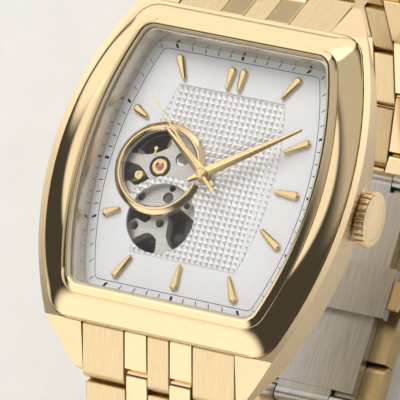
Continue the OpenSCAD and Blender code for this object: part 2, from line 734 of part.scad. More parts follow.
module barrel() {
    color(BRASS) {
        at(barrel_c, train_z + 0.45) cylinder(h = 0.75, r = barrel_r - 0.3);
        at(barrel_c, train_z + 1.2) gear(72, barrel_r, 0.25, 0.35);
        at(barrel_c, train_z + 1.5) cylinder(h = plate_z - train_z - 1.1, r = 0.6);
    }
}

module ratchet_wheel() {
    color(STEEL) {
        at(barrel_c, bridge_z - 0.32) gear(56, 4.6, 0.25, 0.28);
        at(barrel_c, bridge_z - 0.04) cylinder(h = bridge_t + 0.1, r = 0.9);
    }
}

module rotor() {
    color("#D8D2C4") difference() {
        union() {
            intersection() {
                difference() {
                    at([0, 0], rotor_z) cylinder(h = 0.95, r = rotor_r);
                    at([0, 0], rotor_z - 1) cylinder(h = 3, r = rotor_r - 3.1);
                }
                translate([-20, -20, 0]) cube([40, 19.4, 10]);
            }
            intersection() {
                at([0, 0], rotor_z + 0.55) cylinder(h = 0.4, r = rotor_r - 2);
                translate([-20, -20, 0]) cube([40, 21.5, 10]);
            }
            at([0, 0], rotor_z + 0.45) cylinder(h = 0.5, r = 2);
        }
        at([0, 0], rotor_z - 1) cylinder(h = 5, r = 0.9);
        for (a = [-135, -45]) at([0, 0], rotor_z - 1) rotate(a) translate([5.6, 0, 0])
            cylinder(h = 3, r = 2);
    }
}

// ---- Crown ----

module crown_at() {
    translate([0, 0, crown_z]) children();
}

module crown() {
    x0 = crown_x;
    groove = crown_rad * PI / crown_flutes * 0.62;
    color(GOLD) crown_at() difference() {
        union() {
            rod_x(cap_x, x0 + crown_len, crown_rad);
            translate([x0 + crown_len, 0, 0]) rotate([0, 90, 0])
                cylinder(h = crown_dome, r1 = crown_rad, r2 = crown_rad * 0.72);
        }
        rod_x(x0 - 1, x0 + 1.65, 1.45 + 0.12);
        rod_x(x0 - 1, x0 + crown_len + 0.11, 0.46);
        for (i = [0:crown_flutes - 1]) rotate([360 / crown_flutes * i, 0, 0])
            translate([0, 0, crown_rad]) rod_x(x0 - 1, x0 + crown_len - 0.25, groove);
    }
}

// Stem with its sliding pinion, and the crown's skirt
module winding_stem() {
    color(STEEL) crown_at() {
        rod_x(9.4, crown_x + crown_len + 0.1, 0.45);
        translate([9.4, 0, 0]) rotate([0, 90, 0]) gear(14, 0.95, 0.2, 1.5);
        rod_x(11.3, 12.2, 0.75);
        difference() {
            rod_x(crown_x, cap_x, crown_rad - 0.4);
            rod_x(crown_x - 1, cap_x + 1, 1.45 + 0.12);
        }
    }
}

module crown_gasket() {
    color("#202022") crown_at() difference() {
        rod_x(crown_x + 1.33, crown_x + 1.6, 1.4);
        rod_x(crown_x, crown_x + 3, 0.6);
    }
}

// ---- Bracelet ----

// Places a link drawn along Y from its first pin
module on_row(i, droop) {
    p = pin_at(i);
    translate([0, p[0], p[1]]) rotate([-droop, 0, 0]) children();
}

// Middle of a polished column, and its width
function inter_x(w) = w * (0.5 - share_outer - share_inter / 2);

// Knuckle parts at a link's far pin: the brushed columns
module brushed_columns(w, y0, y1, t) {
    wo = w * share_outer;
    wc = w * (1 - 2 * share_outer - 2 * share_inter);
    for (x = [-w / 2, w / 2 - wo]) translate([x, y0, -t / 2]) cube([wo, y1 - y0, t]);
    translate([-wc / 2, y0, -t / 2]) cube([wc, y1 - y0, t]);
    for (x = [-w / 2, w / 2 - wo]) translate([0, y1, 0]) rod_x(x, x + wo, t / 2);
    translate([0, y1, 0]) rod_x(-wc / 2, wc / 2, t / 2);
}

module link_row(i) {
    w = row_w - row_taper * (i - 1);
    wi = w * share_inter - 2 * link_gap;
    tail = pitch - shoulder;
    color(GOLD) on_row(i - 1, row_droop[i - 1]) {
        difference() {
            union() {
                translate([-w / 2, shoulder, -link_t / 2]) cube([w, tail - shoulder, link_t]);
                brushed_columns(w, tail - 0.01, pitch, link_t);
                for (s = [-1, 1]) translate([s * inter_x(w) - wi / 2, 0, 0]) {
                    translate([0, 0, -link_t / 2]) cube([wi, shoulder + 0.01, link_t]);
                    rod_x(0, wi, link_t / 2);
                }
            }
            rod_x(-w, w, pin_r + run);
            translate([0, pitch, 0]) rod_x(-w, w, pin_r + 0.01);
        }
        translate([0, pitch, 0]) rod_x(-w / 2 + 0.3, w / 2 - 0.3, pin_r);
    }
}

module end_link() {
    w = lug_gap - 2 * fit;
    len = (lug_pin[0] - lug_wall_y) / cos(end_droop) + 2;
    color(GOLD) {
        difference() {
            intersection() {
                on_row(0, end_droop) union() {
                    translate([-w / 2, -len, -link_t / 2]) cube([w, len - shoulder, link_t]);
                    brushed_columns(w, -shoulder - 0.01, 0, link_t);
                }
                translate([-20, lug_wall_y + fit, -5]) cube([40, 20, bezel_z - fit + 5]);
            }
            on_row(0, end_droop) rod_x(-w, w, pin_r + 0.01);
            translate([0, bar_pin[0], bar_pin[1]]) rod_x(-w, w, bar_r + run);
        }
        on_row(0, end_droop) rod_x(-w / 2 + 0.3, w / 2 - 0.3, pin_r);
    }
}

module end_links() {
    end_link();
    mirror([0, 1, 0]) end_link();
}

module case_fittings() {
    color(STEEL) translate([0, 0, crown_z]) difference() {
        rod_x(case_w / 2 - 2.85, crown_x + 1.3, 1.45);
        rod_x(10, case_w + 5, 0.85);
    }
    color(STEEL) for (s = [-1, 1]) translate([0, s * bar_pin[0], bar_pin[1]]) {
        rod_x(-lug_gap / 2 + 0.4, lug_gap / 2 - 0.4, bar_r);
        for (t = [-1, 1]) translate([t * lug_gap / 2, 0, 0]) rod_x(-1.05, 1.05, bar_r - 0.25);
    }
}

// ---- Clasp ----

// Arm from the last row's pin to the base, drawn on the 12 o'clock side
module clasp_arm(base_hole) {
    w = row_w - row_taper * (rows - 1);
    wi = w * share_inter - 2 * link_gap;
    a = clasp_pin;
    low = link_t / 2 + 0.1;
    eye_r = 1.05;
    color(STEEL) difference() {
        union() {
            for (s = [-1, 1]) translate([s * inter_x(w), a[0], a[1]]) {
                rod_x(-wi / 2, wi / 2, 1);
                along_x(wi) polygon([[-0.8, 0], [-0.8, low + blade_t], [1.2, low + blade_t],
                    [1.2, 0]]);
            }
            translate([-blade_w / 2, a[0] - 0.8, a[1] + low]) cube([blade_w, arm_l - 0.75, blade_t]);
            for (s = [-1, 1]) translate([s * (blade_w / 4 + 1.85) - (blade_w / 4 - 1.85),
                a[0] + arm_l - 1.7, a[1] + low]) cube([blade_w / 2 - 3.7, 1.7, blade_t]);
            for (s = [-1, 1]) translate([s * (blade_w / 4 + 1.85), base_pin[0], base_pin[1]])
                rod_x(-(blade_w / 4 - 1.85), blade_w / 4 - 1.85, eye_r);
        }
        translate([0, a[0], a[1]]) rod_x(-w, w, pin_r + run);
        translate([0, base_pin[0], base_pin[1]]) {
            rod_x(-blade_w, blade_w, base_hole);
            rod_x(-3.7, 3.7, eye_r + 0.1);
        }
    }
}

module clasp_arm_12() {
    clasp_arm(clasp_pin_r + run);
}

module clasp_arm_6() {
    mirror([0, 1, 0]) clasp_arm(clasp_pin_r + open_pivot);
}

// Middle blade with the two end pivots and the housing of the release buttons
module clasp_base() {
    z0 = clasp_pin[1] + link_t / 2 + 0.1 + blade_t + 0.1;
    half = base_pin[0] - 1.6;
    color(STEEL) {
        difference() {
            union() {
                translate([-blade_w / 2, -half, z0]) cube([blade_w, 2 * half, blade_t]);
                translate([-8.2, -3.2, z0 + blade_t - 0.01]) cube([16.4, 6.4, 1.6]);
                for (s = [-1, 1]) {
                    translate([0, s * base_pin[0], base_pin[1]]) rod_x(-3.6, 3.6, 1);
                    translate([-3.6, s > 0 ? half - 0.01 : -base_pin[0], z0])
                        cube([7.2, 1.61, blade_t - 0.1]);
                }
            }
            for (s = [-1, 1]) translate([s > 0 ? 4.2 : -8.3, -1.9, z0 + blade_t + 0.25])
                cube([4.1, 3.8, 1.1]);
            for (s = [-1, 1]) translate([0, s * base_pin[0], base_pin[1]])
                rod_x(-5, 5, clasp_pin_r + 0.01);
        }
        for (s = [-1, 1]) translate([0, s * base_pin[0], base_pin[1]])
            rod_x(-blade_w / 2, blade_w / 2, clasp_pin_r);
    }
}

module clasp_button() {
    z0 = clasp_pin[1] + link_t / 2 + 0.2 + 2 * blade_t;
    color(GOLD) translate([4.2 + button_travel + fit, -1.9 + fit, z0 + 0.25 + fit])
        cube([4.6, 3.8 - 2 * fit, 1.1 - 2 * fit]);
}

module clasp_button_3() {
    clasp_button();
}

module clasp_button_9() {
    mirror([1, 0, 0]) clasp_button();
}

case_middle();
bezel();
crystal();
gaskets();
rehaut_ring();
dial();
heart_ring();
hour_markers();
case_back();
back_glass();
back_screws();
movement_ring();
main_plate();
heart_bridge();
train_bridges();
balance_cock();
jewels();
movement_screws();
end_links();
case_fittings();
hour_hand();
hour_wheel();
minute_hand();
center_wheel();
seconds_hand();
fourth_wheel();
third_wheel();
escape_wheel();
pallet_fork();
balance_wheel();
hairspring();
barrel();
ratchet_wheel();
rotor();
crown();
winding_stem();
crown_gasket();
for (i = [1:rows]) {
    link_row(i);
    mirror([0, 1, 0]) link_row(i);
}
clasp_arm_12();
clasp_arm_6();
clasp_base();
clasp_button_3();
clasp_button_9();
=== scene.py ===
"""A barrel-shaped automatic wristwatch with an open heart, dressed for a studio view.

Every length in this file is in millimetres; a finished piece is turned to metres. The frame is
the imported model's own: +Z out of the dial, +Y to 12 o'clock, +X to the crown.
"""
import logging
import math
from dataclasses import dataclass
from enum import Enum
from typing import Any, Iterable, Sequence

import bmesh
import bpy
from mathutils import Matrix, Vector
from mathutils.geometry import intersect_line_line_2d


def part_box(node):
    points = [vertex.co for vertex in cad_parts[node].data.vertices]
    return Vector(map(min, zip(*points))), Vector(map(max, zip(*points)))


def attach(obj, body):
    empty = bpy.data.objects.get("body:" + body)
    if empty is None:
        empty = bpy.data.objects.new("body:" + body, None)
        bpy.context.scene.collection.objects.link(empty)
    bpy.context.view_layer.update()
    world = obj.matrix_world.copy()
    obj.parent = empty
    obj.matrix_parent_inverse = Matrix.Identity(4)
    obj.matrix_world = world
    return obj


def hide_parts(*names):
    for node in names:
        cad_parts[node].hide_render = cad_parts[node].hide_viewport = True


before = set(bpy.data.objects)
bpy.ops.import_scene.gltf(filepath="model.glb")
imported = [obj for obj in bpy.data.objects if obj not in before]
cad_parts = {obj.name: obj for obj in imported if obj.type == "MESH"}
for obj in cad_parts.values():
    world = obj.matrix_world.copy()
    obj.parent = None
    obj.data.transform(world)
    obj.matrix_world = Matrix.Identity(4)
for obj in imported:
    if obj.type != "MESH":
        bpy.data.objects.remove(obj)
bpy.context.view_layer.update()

MM = 0.001
DIAL_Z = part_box("dial")[1].z / MM
log = logging.getLogger("wristwatch")

Tree = bpy.types.NodeTree
Node = bpy.types.Node
Piece = bpy.types.Object
Point2 = tuple[float, float]
Point3 = tuple[float, float, float]
Ring = list[Vector]
Span = tuple[float, float, bool, bool]

# ---- finishes


def linear(code: str) -> tuple[float, float, float, float]:
    """Turns an sRGB hex value to linear colour.

    Args:
        code: Six hex digits after a hash.

    Returns:
        Red, green, blue and alpha, each from 0 to 1.
    """
    parts = [int(code[i:i + 2], 16) / 255 for i in (1, 3, 5)]
    bright = [c / 12.92 if c <= 0.04045 else ((c + 0.055) / 1.055) ** 2.4 for c in parts]
    return bright[0], bright[1], bright[2], 1.0


def put(node: Node, values: dict[Any, Any]) -> None:
    """Sets constants straight on a node's sockets."""
    for key, value in values.items():
        node.inputs[key].default_value = value


def add(tree: Tree, kind: str, links: dict[Any, Any] | None = None,
        values: dict[Any, Any] | None = None, **settings: Any) -> Node:
    """Adds a node with its settings, constants and incoming links.

    Args:
        tree: The material's node tree.
        kind: The node's type, without the ShaderNode prefix.
        links: Input name or place to the output socket that feeds it.
        values: Input name or place to its constant.
        settings: The node's own properties.

    Returns:
        The new node.
    """
    node = tree.nodes.new("ShaderNode" + kind)
    for key, value in settings.items():
        setattr(node, key, value)
    put(node, values or {})
    for key, socket in (links or {}).items():
        tree.links.new(socket, node.inputs[key])
    return node


class Grain(Enum):
    """The way in which a surface was worked, as the stretch of its pattern along X, Y and Z."""

    POLISHED = (1.0, 1.0, 1.0)
    BRUSHED_ALONG = (1.0, 0.02, 0.02)
    BRUSHED_ACROSS = (0.02, 1.0, 1.0)


@dataclass(frozen=True)
class Finish:
    """What every finish shares: a named material, built once, with two tones and a polish."""

    name: str
    colour: str
    shade: str
    roughness: float

    def make(self) -> bpy.types.Material:
        """Builds the material, or finds it again.

        Returns:
            The material.
        """
        mat = bpy.data.materials.get(self.name)
        if not mat:
            mat = bpy.data.materials.new(self.name)
            mat.use_nodes = True
            self.fill(mat.node_tree.nodes["Principled BSDF"])
        return mat

    def fill(self, shader: Node) -> None:
        """Adds the finish's own constants and nodes to a new material's Principled BSDF."""

    def grained(self, shader: Node, size: Vector, noise: dict[str, float], ramp: Point2,
                bump: Point2) -> Node:
        """Adds a fine pattern to the colour and the surface, in the piece's own space.

        Args:
            shader: The material's Principled BSDF.
            size: How often the pattern repeats in a metre, along X, Y and Z.
            noise: The pattern's constants.
            ramp: The pattern's values at which the darker and the lighter tone are reached.
            bump: Strength of the relief, and its depth in millimetres.

        Returns:
            The pattern's node.
        """
        tree = shader.id_data
        place = add(tree, "TexCoord")
        turned = add(tree, "Mapping", {"Vector": place.outputs["Object"]}, {"Scale": size})
        grain = add(tree, "TexNoise", {"Vector": turned.outputs["Vector"]},
                    {"Scale": 1.0} | noise)
        tone = add(tree, "ValToRGB", {"Fac": grain.outputs["Fac"]})
        tones = (self.shade, self.colour)
        for stop, position, code in zip(tone.color_ramp.elements, ramp, tones):
            stop.position, stop.color = position, linear(code)
        tree.links.new(tone.outputs["Color"], shader.inputs["Base Color"])
        relief = add(tree, "Bump", {"Height": grain.outputs["Fac"]},
                     {"Strength": bump[0], "Distance": bump[1] * MM})
        tree.links.new(relief.outputs["Normal"], shader.inputs["Normal"])
        return grain


@dataclass(frozen=True)
class Metal(Finish):
    """A metal finish, with the fine lines that its working left."""

    line_mm: float
    depth: float
    spread: float
    grain: Grain = Grain.POLISHED
    metallic: float = 1.0

    def fill(self, shader: Node) -> None:
        """Adds the worked lines and lets them vary the roughness.

        Args:
            shader: The material's Principled BSDF.
        """
        put(shader, {"Metallic": self.metallic})
        lines = self.grained(shader, Vector(self.grain.value) / (self.line_mm * MM),
                             {"Detail": 3.0, "Roughness": 0.6}, (0.3, 0.62),
                             (0.35, self.depth))
        rough = add(shader.id_data, "MapRange", {"Value": lines.outputs["Fac"]},
                    {"To Min": max(0.02, self.roughness - self.spread),
                     "To Max": self.roughness + self.spread})
        shader.id_data.links.new(rough.outputs["Result"], shader.inputs["Roughness"])


@dataclass(frozen=True)
class Coat(Finish):
    """A finish that is not metal: lacquer, rubber, ink, paper or ruby."""

    grain_mm: float = 0.2
    depth: float = 0.004
    metallic: float = 0.0
    coat: float = 0.0
    ior: float = 1.5

    def fill(self, shader: Node) -> None:
        """Adds a fine even speckle to the shader."""
        put(shader, {"Metallic": self.metallic, "Roughness": self.roughness,
                     "Coat Weight": self.coat, "IOR": self.ior})
        self.grained(shader, Vector((1, 1, 1)) / (self.grain_mm * MM), {"Detail": 4.0},
                     (0.35, 0.65), (0.3, self.depth))


@dataclass(frozen=True)
class ClearGlass(Finish):
    """Thin mineral glass: clear from the front, with a sheen that grows towards grazing."""

    ior: float = 1.52

    def fill(self, shader: Node) -> None:
        """Adds the sheen, and a faint smear from wiping.

        Args:
            shader: The material's Principled BSDF.
        """
        tree = shader.id_data
        put(shader, {"Base Color": linear(self.colour), "Roughness": self.roughness,
                     "IOR": self.ior, "Specular IOR Level": 0.6})
        edge = add(tree, "LayerWeight", values={"Blend": 0.5})
        steep = add(tree, "Math", {0: edge.outputs["Facing"]}, {1: 4.0}, operation="POWER")
        place = add(tree, "TexCoord")
        smear = add(tree, "TexNoise", {"Vector": place.outputs["Object"]},
                    {"Scale": 220.0, "Detail": 2.0})
        soft = add(tree, "MapRange", {"Value": smear.outputs["Fac"]},
                   {"To Min": 0.012, "To Max": 0.022})
        veil = add(tree, "Math", {0: steep.outputs["Value"], 1: soft.outputs["Result"]},
                   operation="ADD", use_clamp=True)
        tree.links.new(veil.outputs["Value"], shader.inputs["Alpha"])


# Polished gold plate: a clear mirror with hairline wear.
POLISHED_GOLD = Metal("polished gold plate", "#FBE2B7", "#F9DFB2", 0.07, 1.4, 0.0003, 0.012)
# The same plate with a softer polish, on the case's flanks.
SOFT_GOLD = Metal("soft polished gold plate", "#FBE2B8", "#F8DEB2", 0.3, 0.9, 0.0005, 0.03)
# The crown's plate, a little duller from fingers.
GRIP_GOLD = Metal("worn gold plate", "#FBE3BC", "#F3D8A8", 0.34, 0.5, 0.001, 0.04)
# Satin gold plate: fine lines along the bracelet that pull its highlights into bands.
SATIN_GOLD = Metal("satin gold plate", "#F4DDB1", "#DFC596", 0.32, 0.055, 0.002, 0.06,
                   Grain.BRUSHED_ALONG)
# Diamond-cut gold of hands and markers: bright facets, a touch yellower.
CUT_GOLD = Metal("cut gold", "#F7DDA6", "#F0D297", 0.2, 0.4, 0.0006, 0.03)
# Rhodium-plated brass plates and bridges: pale, with a fine straight grain.
RHODIUM = Metal("brushed rhodium plate", "#E4E1DD", "#C4C0BA", 0.34, 0.07, 0.003, 0.07,
                Grain.BRUSHED_ACROSS, 0.6)
# The flange round the dial: a silvery satin whose colour is warmed by a painted reflection of the
# case's gold.
FLANGE = Metal("silvered flange", "#D9CFBF", "#C6BBA8", 0.22, 0.3, 0.001, 0.04)
# Bridges seen through the back: broader straight stripes.
STRIPED = Metal("striped rhodium plate", "#D6D4D0", "#A9A6A0", 0.3, 1.3, 0.01, 0.08,
                Grain.BRUSHED_ALONG)
# The movement's and the clasp's plain metals.
STEEL = Metal("brushed steel", "#C9C8C6", "#A8A7A4", 0.3, 0.08, 0.003, 0.06, Grain.BRUSHED_ALONG)
DARK_STEEL = Metal("dark steel", "#57524C", "#3B3733", 0.42, 0.3, 0.002, 0.06)
BRONZE = Metal("balance bronze", "#9C8360", "#7A6548", 0.3, 0.3, 0.001, 0.05)
BRASS = Metal("gilt brass", "#DDB363", "#C49745", 0.22, 0.25, 0.001, 0.05)
# Tempered steel of the balance spring.
BLUED = Metal("blued steel", "#33508A", "#24396A", 0.25, 0.2, 0.001, 0.04)
# Silvered dial: a matt metallic lacquer with a very fine tooth.
SILVERED = Coat("silvered lacquer", "#EDEEF0", "#E4E5E8", 0.4, 0.12, 0.002, 0.1)
# Pressed pyramids of the dial's centre, silvered like the rest and brighter on their slopes.
PYRAMIDS = Coat("pressed silver", "#FBFBFC", "#F2F3F4", 0.2, 0.3, 0.001, 0.6)
# Ink, bearings, seals and the floor's paper.
INK = Coat("black printing ink", "#1C1B1A", "#121110", 0.5, 0.1, 0.001)
RUBY = Coat("synthetic ruby", "#D27F93", "#AE5770", 0.1, 0.5, 0.0, 0.0, 0.6, 1.77)
RUBBER = Coat("nitrile rubber", "#232325", "#18181A", 0.6, 0.15, 0.004, ior=1.52)
NYLON = Coat("clear nylon", "#D9CFB6", "#CFC4A8", 0.3, 0.3, 0.001, ior=1.53)
PAPER = Coat("pale paper", "#EDEBE7", "#EAE8E4", 0.9, 4.0)
# Mineral glass of the crystal and of the back.
CRYSTAL = ClearGlass("mineral crystal", "#FFFFFF", "#FFFFFF", 0.03)


# ---- shaping


@dataclass(frozen=True)
class Barrel:
    """The sizes of a barrel shape: width, length, and the radii of its sides and corners."""

    width: float
    length: float
    side: float
    corner: float

    def grown(self, margin: float) -> "Barrel":
        """The same shape with a margin added all round."""
        return Barrel(self.width + 2 * margin, self.length + 2 * margin, self.side + margin,
                      self.corner + margin)

    def points(self) -> list[Point2]:
        """Draws the shape: curved sides, straight ends and rounded corners.

        Returns:
            The outline's points, counter-clockwise.
        """
        across, end = self.side - self.corner, self.length / 2 - self.corner
        lean = math.degrees(math.asin(end / across))
        centre = self.width / 2 - self.side
        inset = centre + across * math.cos(math.radians(lean))
        right = (arc((inset, -end), self.corner, -90, -lean, 6)[:-1]
                 + arc((centre, 0), self.side, -lean, lean, 40)
                 + arc((inset, end), self.corner, lean, 90, 6)[1:])
        return right + [(-x, y) for x, y in reversed(right)]


def arc(centre: Point2, radius: float, start: float, end: float, steps: int) -> list[Point2]:
    """Points on an arc from one angle to another, in degrees."""
    turns = [math.radians(start + (end - start) * i / steps) for i in range(steps + 1)]
    return [(centre[0] + radius * math.cos(a), centre[1] + radius * math.sin(a)) for a in turns]


def at_level(outline: Iterable[Point2], z: float, scale: float = 1.0) -> Ring:
    """Lays an outline at a height, scaled about the hands' axis."""
    return [Vector((x * scale, y * scale, z)) for x, y in outline]


def hang(name: str, data: bpy.types.ID, spot: Point3 = (0, 0, 0)) -> Piece:
    """Puts something into the scene as an object.

    Args:
        name: The object's name.
        data: Its mesh, lamp or camera.
        spot: Where it goes.

    Returns:
        The object.
    """
    piece = bpy.data.objects.new(name, data)
    piece.location = Vector(spot) * MM
    bpy.context.scene.collection.objects.link(piece)
    return piece


class Work:
    """A piece on the bench: a mesh in millimetres that operators shape."""

    def __init__(self) -> None:
        """Starts with an empty mesh."""
        self.bm = bmesh.new()

    def loop(self, ring: Iterable[Vector]) -> list[bmesh.types.BMEdge]:
        """Adds a closed loop of edges through the points."""
        verts = [self.bm.verts.new(p) for p in ring]
        return [self.bm.edges.new((verts[i - 1], verts[i])) for i in range(len(verts))]

    def loft(self, rings: Sequence[Iterable[Vector]], closed: bool = False,
             capped: bool = False) -> None:
        """Joins loops of equal count into a skin.

        Args:
            rings: The loops, in order.
            closed: Whether the last joins the first.
            capped: Whether the first and last are filled.
        """
        loops = [self.loop(r) for r in rings]
        pairs = list(zip(loops, loops[1:])) + ([(loops[-1], loops[0])] if closed else [])
        for low, high in pairs:
            bmesh.ops.bridge_loops(self.bm, edges=low + high)
        if capped:
            for edges in (loops[0], loops[-1]):
                bmesh.ops.contextual_create(self.bm, geom=edges)
        self.face_out()

    def extrude(self, faces: Sequence[bmesh.types.BMFace],
                along: Vector) -> list[bmesh.types.BMVert]:
        """Draws faces out.

        Args:
            faces: The faces.
            along: Where they move to.

        Returns:
            The points that moved.
        """
        made = bmesh.ops.extrude_face_region(self.bm, geom=faces)
        moved = [g for g in made["geom"] if isinstance(g, bmesh.types.BMVert)]
        bmesh.ops.translate(self.bm, verts=moved, vec=along)
        return moved

    def prism(self, outline: Sequence[Vector], along: Vector) -> None:
        """Fills an outline and draws it out along a vector."""
        self.extrude([self.bm.faces.new([self.bm.verts.new(p) for p in outline])], along)
        self.face_out()

    def plate(self, outline: Sequence[Point2], low: float, high: float) -> None:
        """Extrudes an outline in X and Y between two heights."""
        self.prism(at_level(outline, low), Vector((0, 0, high - low)))

    def side_prism(self, outline: Sequence[Point2], left: float, right: float) -> None:
        """Extrudes an outline in Y and Z along X."""
        self.prism([Vector((left, y, z)) for y, z in outline], Vector((right - left, 0, 0)))

    def drum(self, centre: Vector, radius: float, height: float, axis: str = "Z",
             top: float | None = None, steps: int = 48) -> None:
        """Adds a cylinder or cone that starts at its centre.

        Args:
            centre: Centre of the first end.
            radius: Radius of the first end.
            height: Length along the axis.
            axis: X or Z.
            top: Radius of the other end, if it differs.
            steps: Facets round it.
        """
        turn = Matrix.Rotation(math.pi / 2, 4, "Y") if axis == "X" else Matrix.Identity(4)
        move = Matrix.Translation(Vector((0, 0, height / 2)))
        bmesh.ops.create_cone(self.bm, cap_ends=True, segments=steps, radius1=radius,
                              radius2=radius if top is None else top, depth=height,
                              matrix=Matrix.Translation(centre) @ turn @ move)

    def turn(self, profile: Sequence[Point2], centre: Point2, steps: int = 64,
             start: float = 0.0, sweep: float = 360.0) -> None:
        """Spins a closed profile of radius and height round a vertical axis.

        Args:
            profile: Points of radius and height.
            centre: Where the axis stands.
            steps: Steps of the sweep.
            start: Angle of the first section, in degrees.
            sweep: How far it turns, in degrees.
        """
        a = math.radians(start)
        ring = [Vector((centre[0] + r * math.cos(a), centre[1] + r * math.sin(a), z))
                for r, z in profile]
        full = sweep >= 360
        face = self.bm.faces.new([self.bm.verts.new(p) for p in ring])
        geom: list[Any] = [*face.edges, *face.verts] + ([] if full else [face])
        if full:
            self.bm.faces.remove(face)
        bmesh.ops.spin(self.bm, geom=geom, cent=Vector((*centre, 0)), axis=Vector((0, 0, 1)),
                       angle=math.radians(sweep), steps=steps, use_merge=full,
                       use_duplicate=False)
        bmesh.ops.remove_doubles(self.bm, verts=self.bm.verts[:], dist=1e-5)
        self.face_out()

    def slice(self, point: Vector, normal: Vector) -> None:
        """Cuts along a plane and closes the cut.

        Args:
            point: A point on the plane.
            normal: Points to the side that is thrown away.
        """
        geom = self.bm.verts[:] + self.bm.edges[:] + self.bm.faces[:]
        cut = bmesh.ops.bisect_plane(self.bm, geom=geom, plane_co=point, plane_no=normal,
                                     clear_outer=True)
        rim = [g for g in cut["geom_cut"] if isinstance(g, bmesh.types.BMEdge)]
        bmesh.ops.holes_fill(self.bm, edges=rim)

    def soften(self, width: float, steps: int = 2, over: float = 28.0) -> None:
        """Bevels every edge that is sharper than an angle.

        Args:
            width: Width of the bevel.
            steps: Facets of the bevel.
            over: The angle, in degrees.
        """
        sharp = [e for e in self.bm.edges
                 if len(e.link_faces) == 2 and e.calc_face_angle(0.0) > math.radians(over)]
        bmesh.ops.bevel(self.bm, geom=sharp, offset=width, offset_type="OFFSET", segments=steps,
                        profile=0.5, affect="EDGES", clamp_overlap=True, material=-1)

    def place(self, matrix: Matrix) -> None:
        """Moves everything made so far."""
        bmesh.ops.transform(self.bm, verts=self.bm.verts[:], matrix=matrix)

    def mirror_y(self) -> None:
        """Turns the piece into its mirror image on the 6 o'clock side."""
        self.place(Matrix.Scale(-1, 4, (0, 1, 0)))
        bmesh.ops.reverse_faces(self.bm, faces=self.bm.faces[:])

    def face_out(self) -> None:
        """Points every face outwards."""
        bmesh.ops.recalc_face_normals(self.bm, faces=self.bm.faces[:])

    def cast(self, name: str) -> Piece:
        """Turns the mesh to metres and puts it into the scene as a loose object.

        Args:
            name: The object's name.

        Returns:
            The object.
        """
        self.place(Matrix.Scale(MM, 4))
        mesh = bpy.data.meshes.new(name)
        self.bm.to_mesh(mesh)
        self.bm.free()
        return hang(name, mesh)

    def done(self, name: str, finish: Finish, body: str, replaces: Sequence[str] = (),
             crease: float = 32.0) -> Piece:
        """Smooths the piece, dresses it and hangs it on its body.

        Args:
            name: The piece's name.
            finish: Its finish.
            body: The body that it rides on.
            replaces: The nodes that it stands for.
            crease: Edges sharper than this stay sharp, in degrees.

        Returns:
            The finished object.
        """
        for face in self.bm.faces:
            face.smooth = True
        for edge in self.bm.edges:
            edge.smooth = (len(edge.link_faces) == 2
                           and edge.calc_face_angle(0.0) < math.radians(crease))
        piece = self.cast(name)
        piece.data.materials.append(finish.make())
        piece.modifiers.new("even facets", "WEIGHTED_NORMAL").keep_sharp = True
        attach(piece, body)
        if replaces:
            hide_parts(*replaces)
        return piece


def cut_away(piece: Piece, tool: Piece) -> None:
    """Cuts a tool's shape out of a piece for good, and throws the tool away.

    Args:
        piece: What is cut.
        tool: What it is cut with.
    """
    cut = piece.modifiers.new("cut", "BOOLEAN")
    cut.operation, cut.solver, cut.object = "DIFFERENCE", "EXACT", tool
    piece.modifiers.move(len(piece.modifiers) - 1, 0)
    with bpy.context.temp_override(object=piece, active_object=piece):
        bpy.ops.object.modifier_apply(modifier=cut.name)
    bpy.data.objects.remove(tool)


def dress(nodes: Iterable[str], finish: Finish) -> None:
    """Gives carried-over nodes a finish.

    Args:
        nodes: The nodes' names.
        finish: Their finish.
    """
    for name in nodes:
        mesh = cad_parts[name].data
        mesh.materials.clear()
        mesh.materials.append(finish.make())


def refine(node: str, finish: Finish, body: str, width: float, steps: int = 2,
           over: float = 30.0) -> None:
    """Makes a node again with its edges broken, as a maker would before plating.

    Args:
        node: The node to make again.
        finish: Its finish.
        body: The body that it rides on.
        width: Width of the broken edge.
        steps: Facets across that edge.
        over: Edges sharper than this are broken, in degrees.
    """
    work = Work()
    work.bm.from_mesh(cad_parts[node].data)
    bmesh.ops.scale(work.bm, verts=work.bm.verts[:], vec=Vector((1, 1, 1)) / MM)
    bmesh.ops.remove_doubles(work.bm, verts=work.bm.verts[:], dist=0.0015)
    bmesh.ops.dissolve_limit(work.bm, angle_limit=math.radians(0.6), verts=work.bm.verts[:],
                             edges=work.bm.edges[:])
    work.soften(width, steps, over)
    work.done(node + "_finished", finish, body, [node])


# ---- case


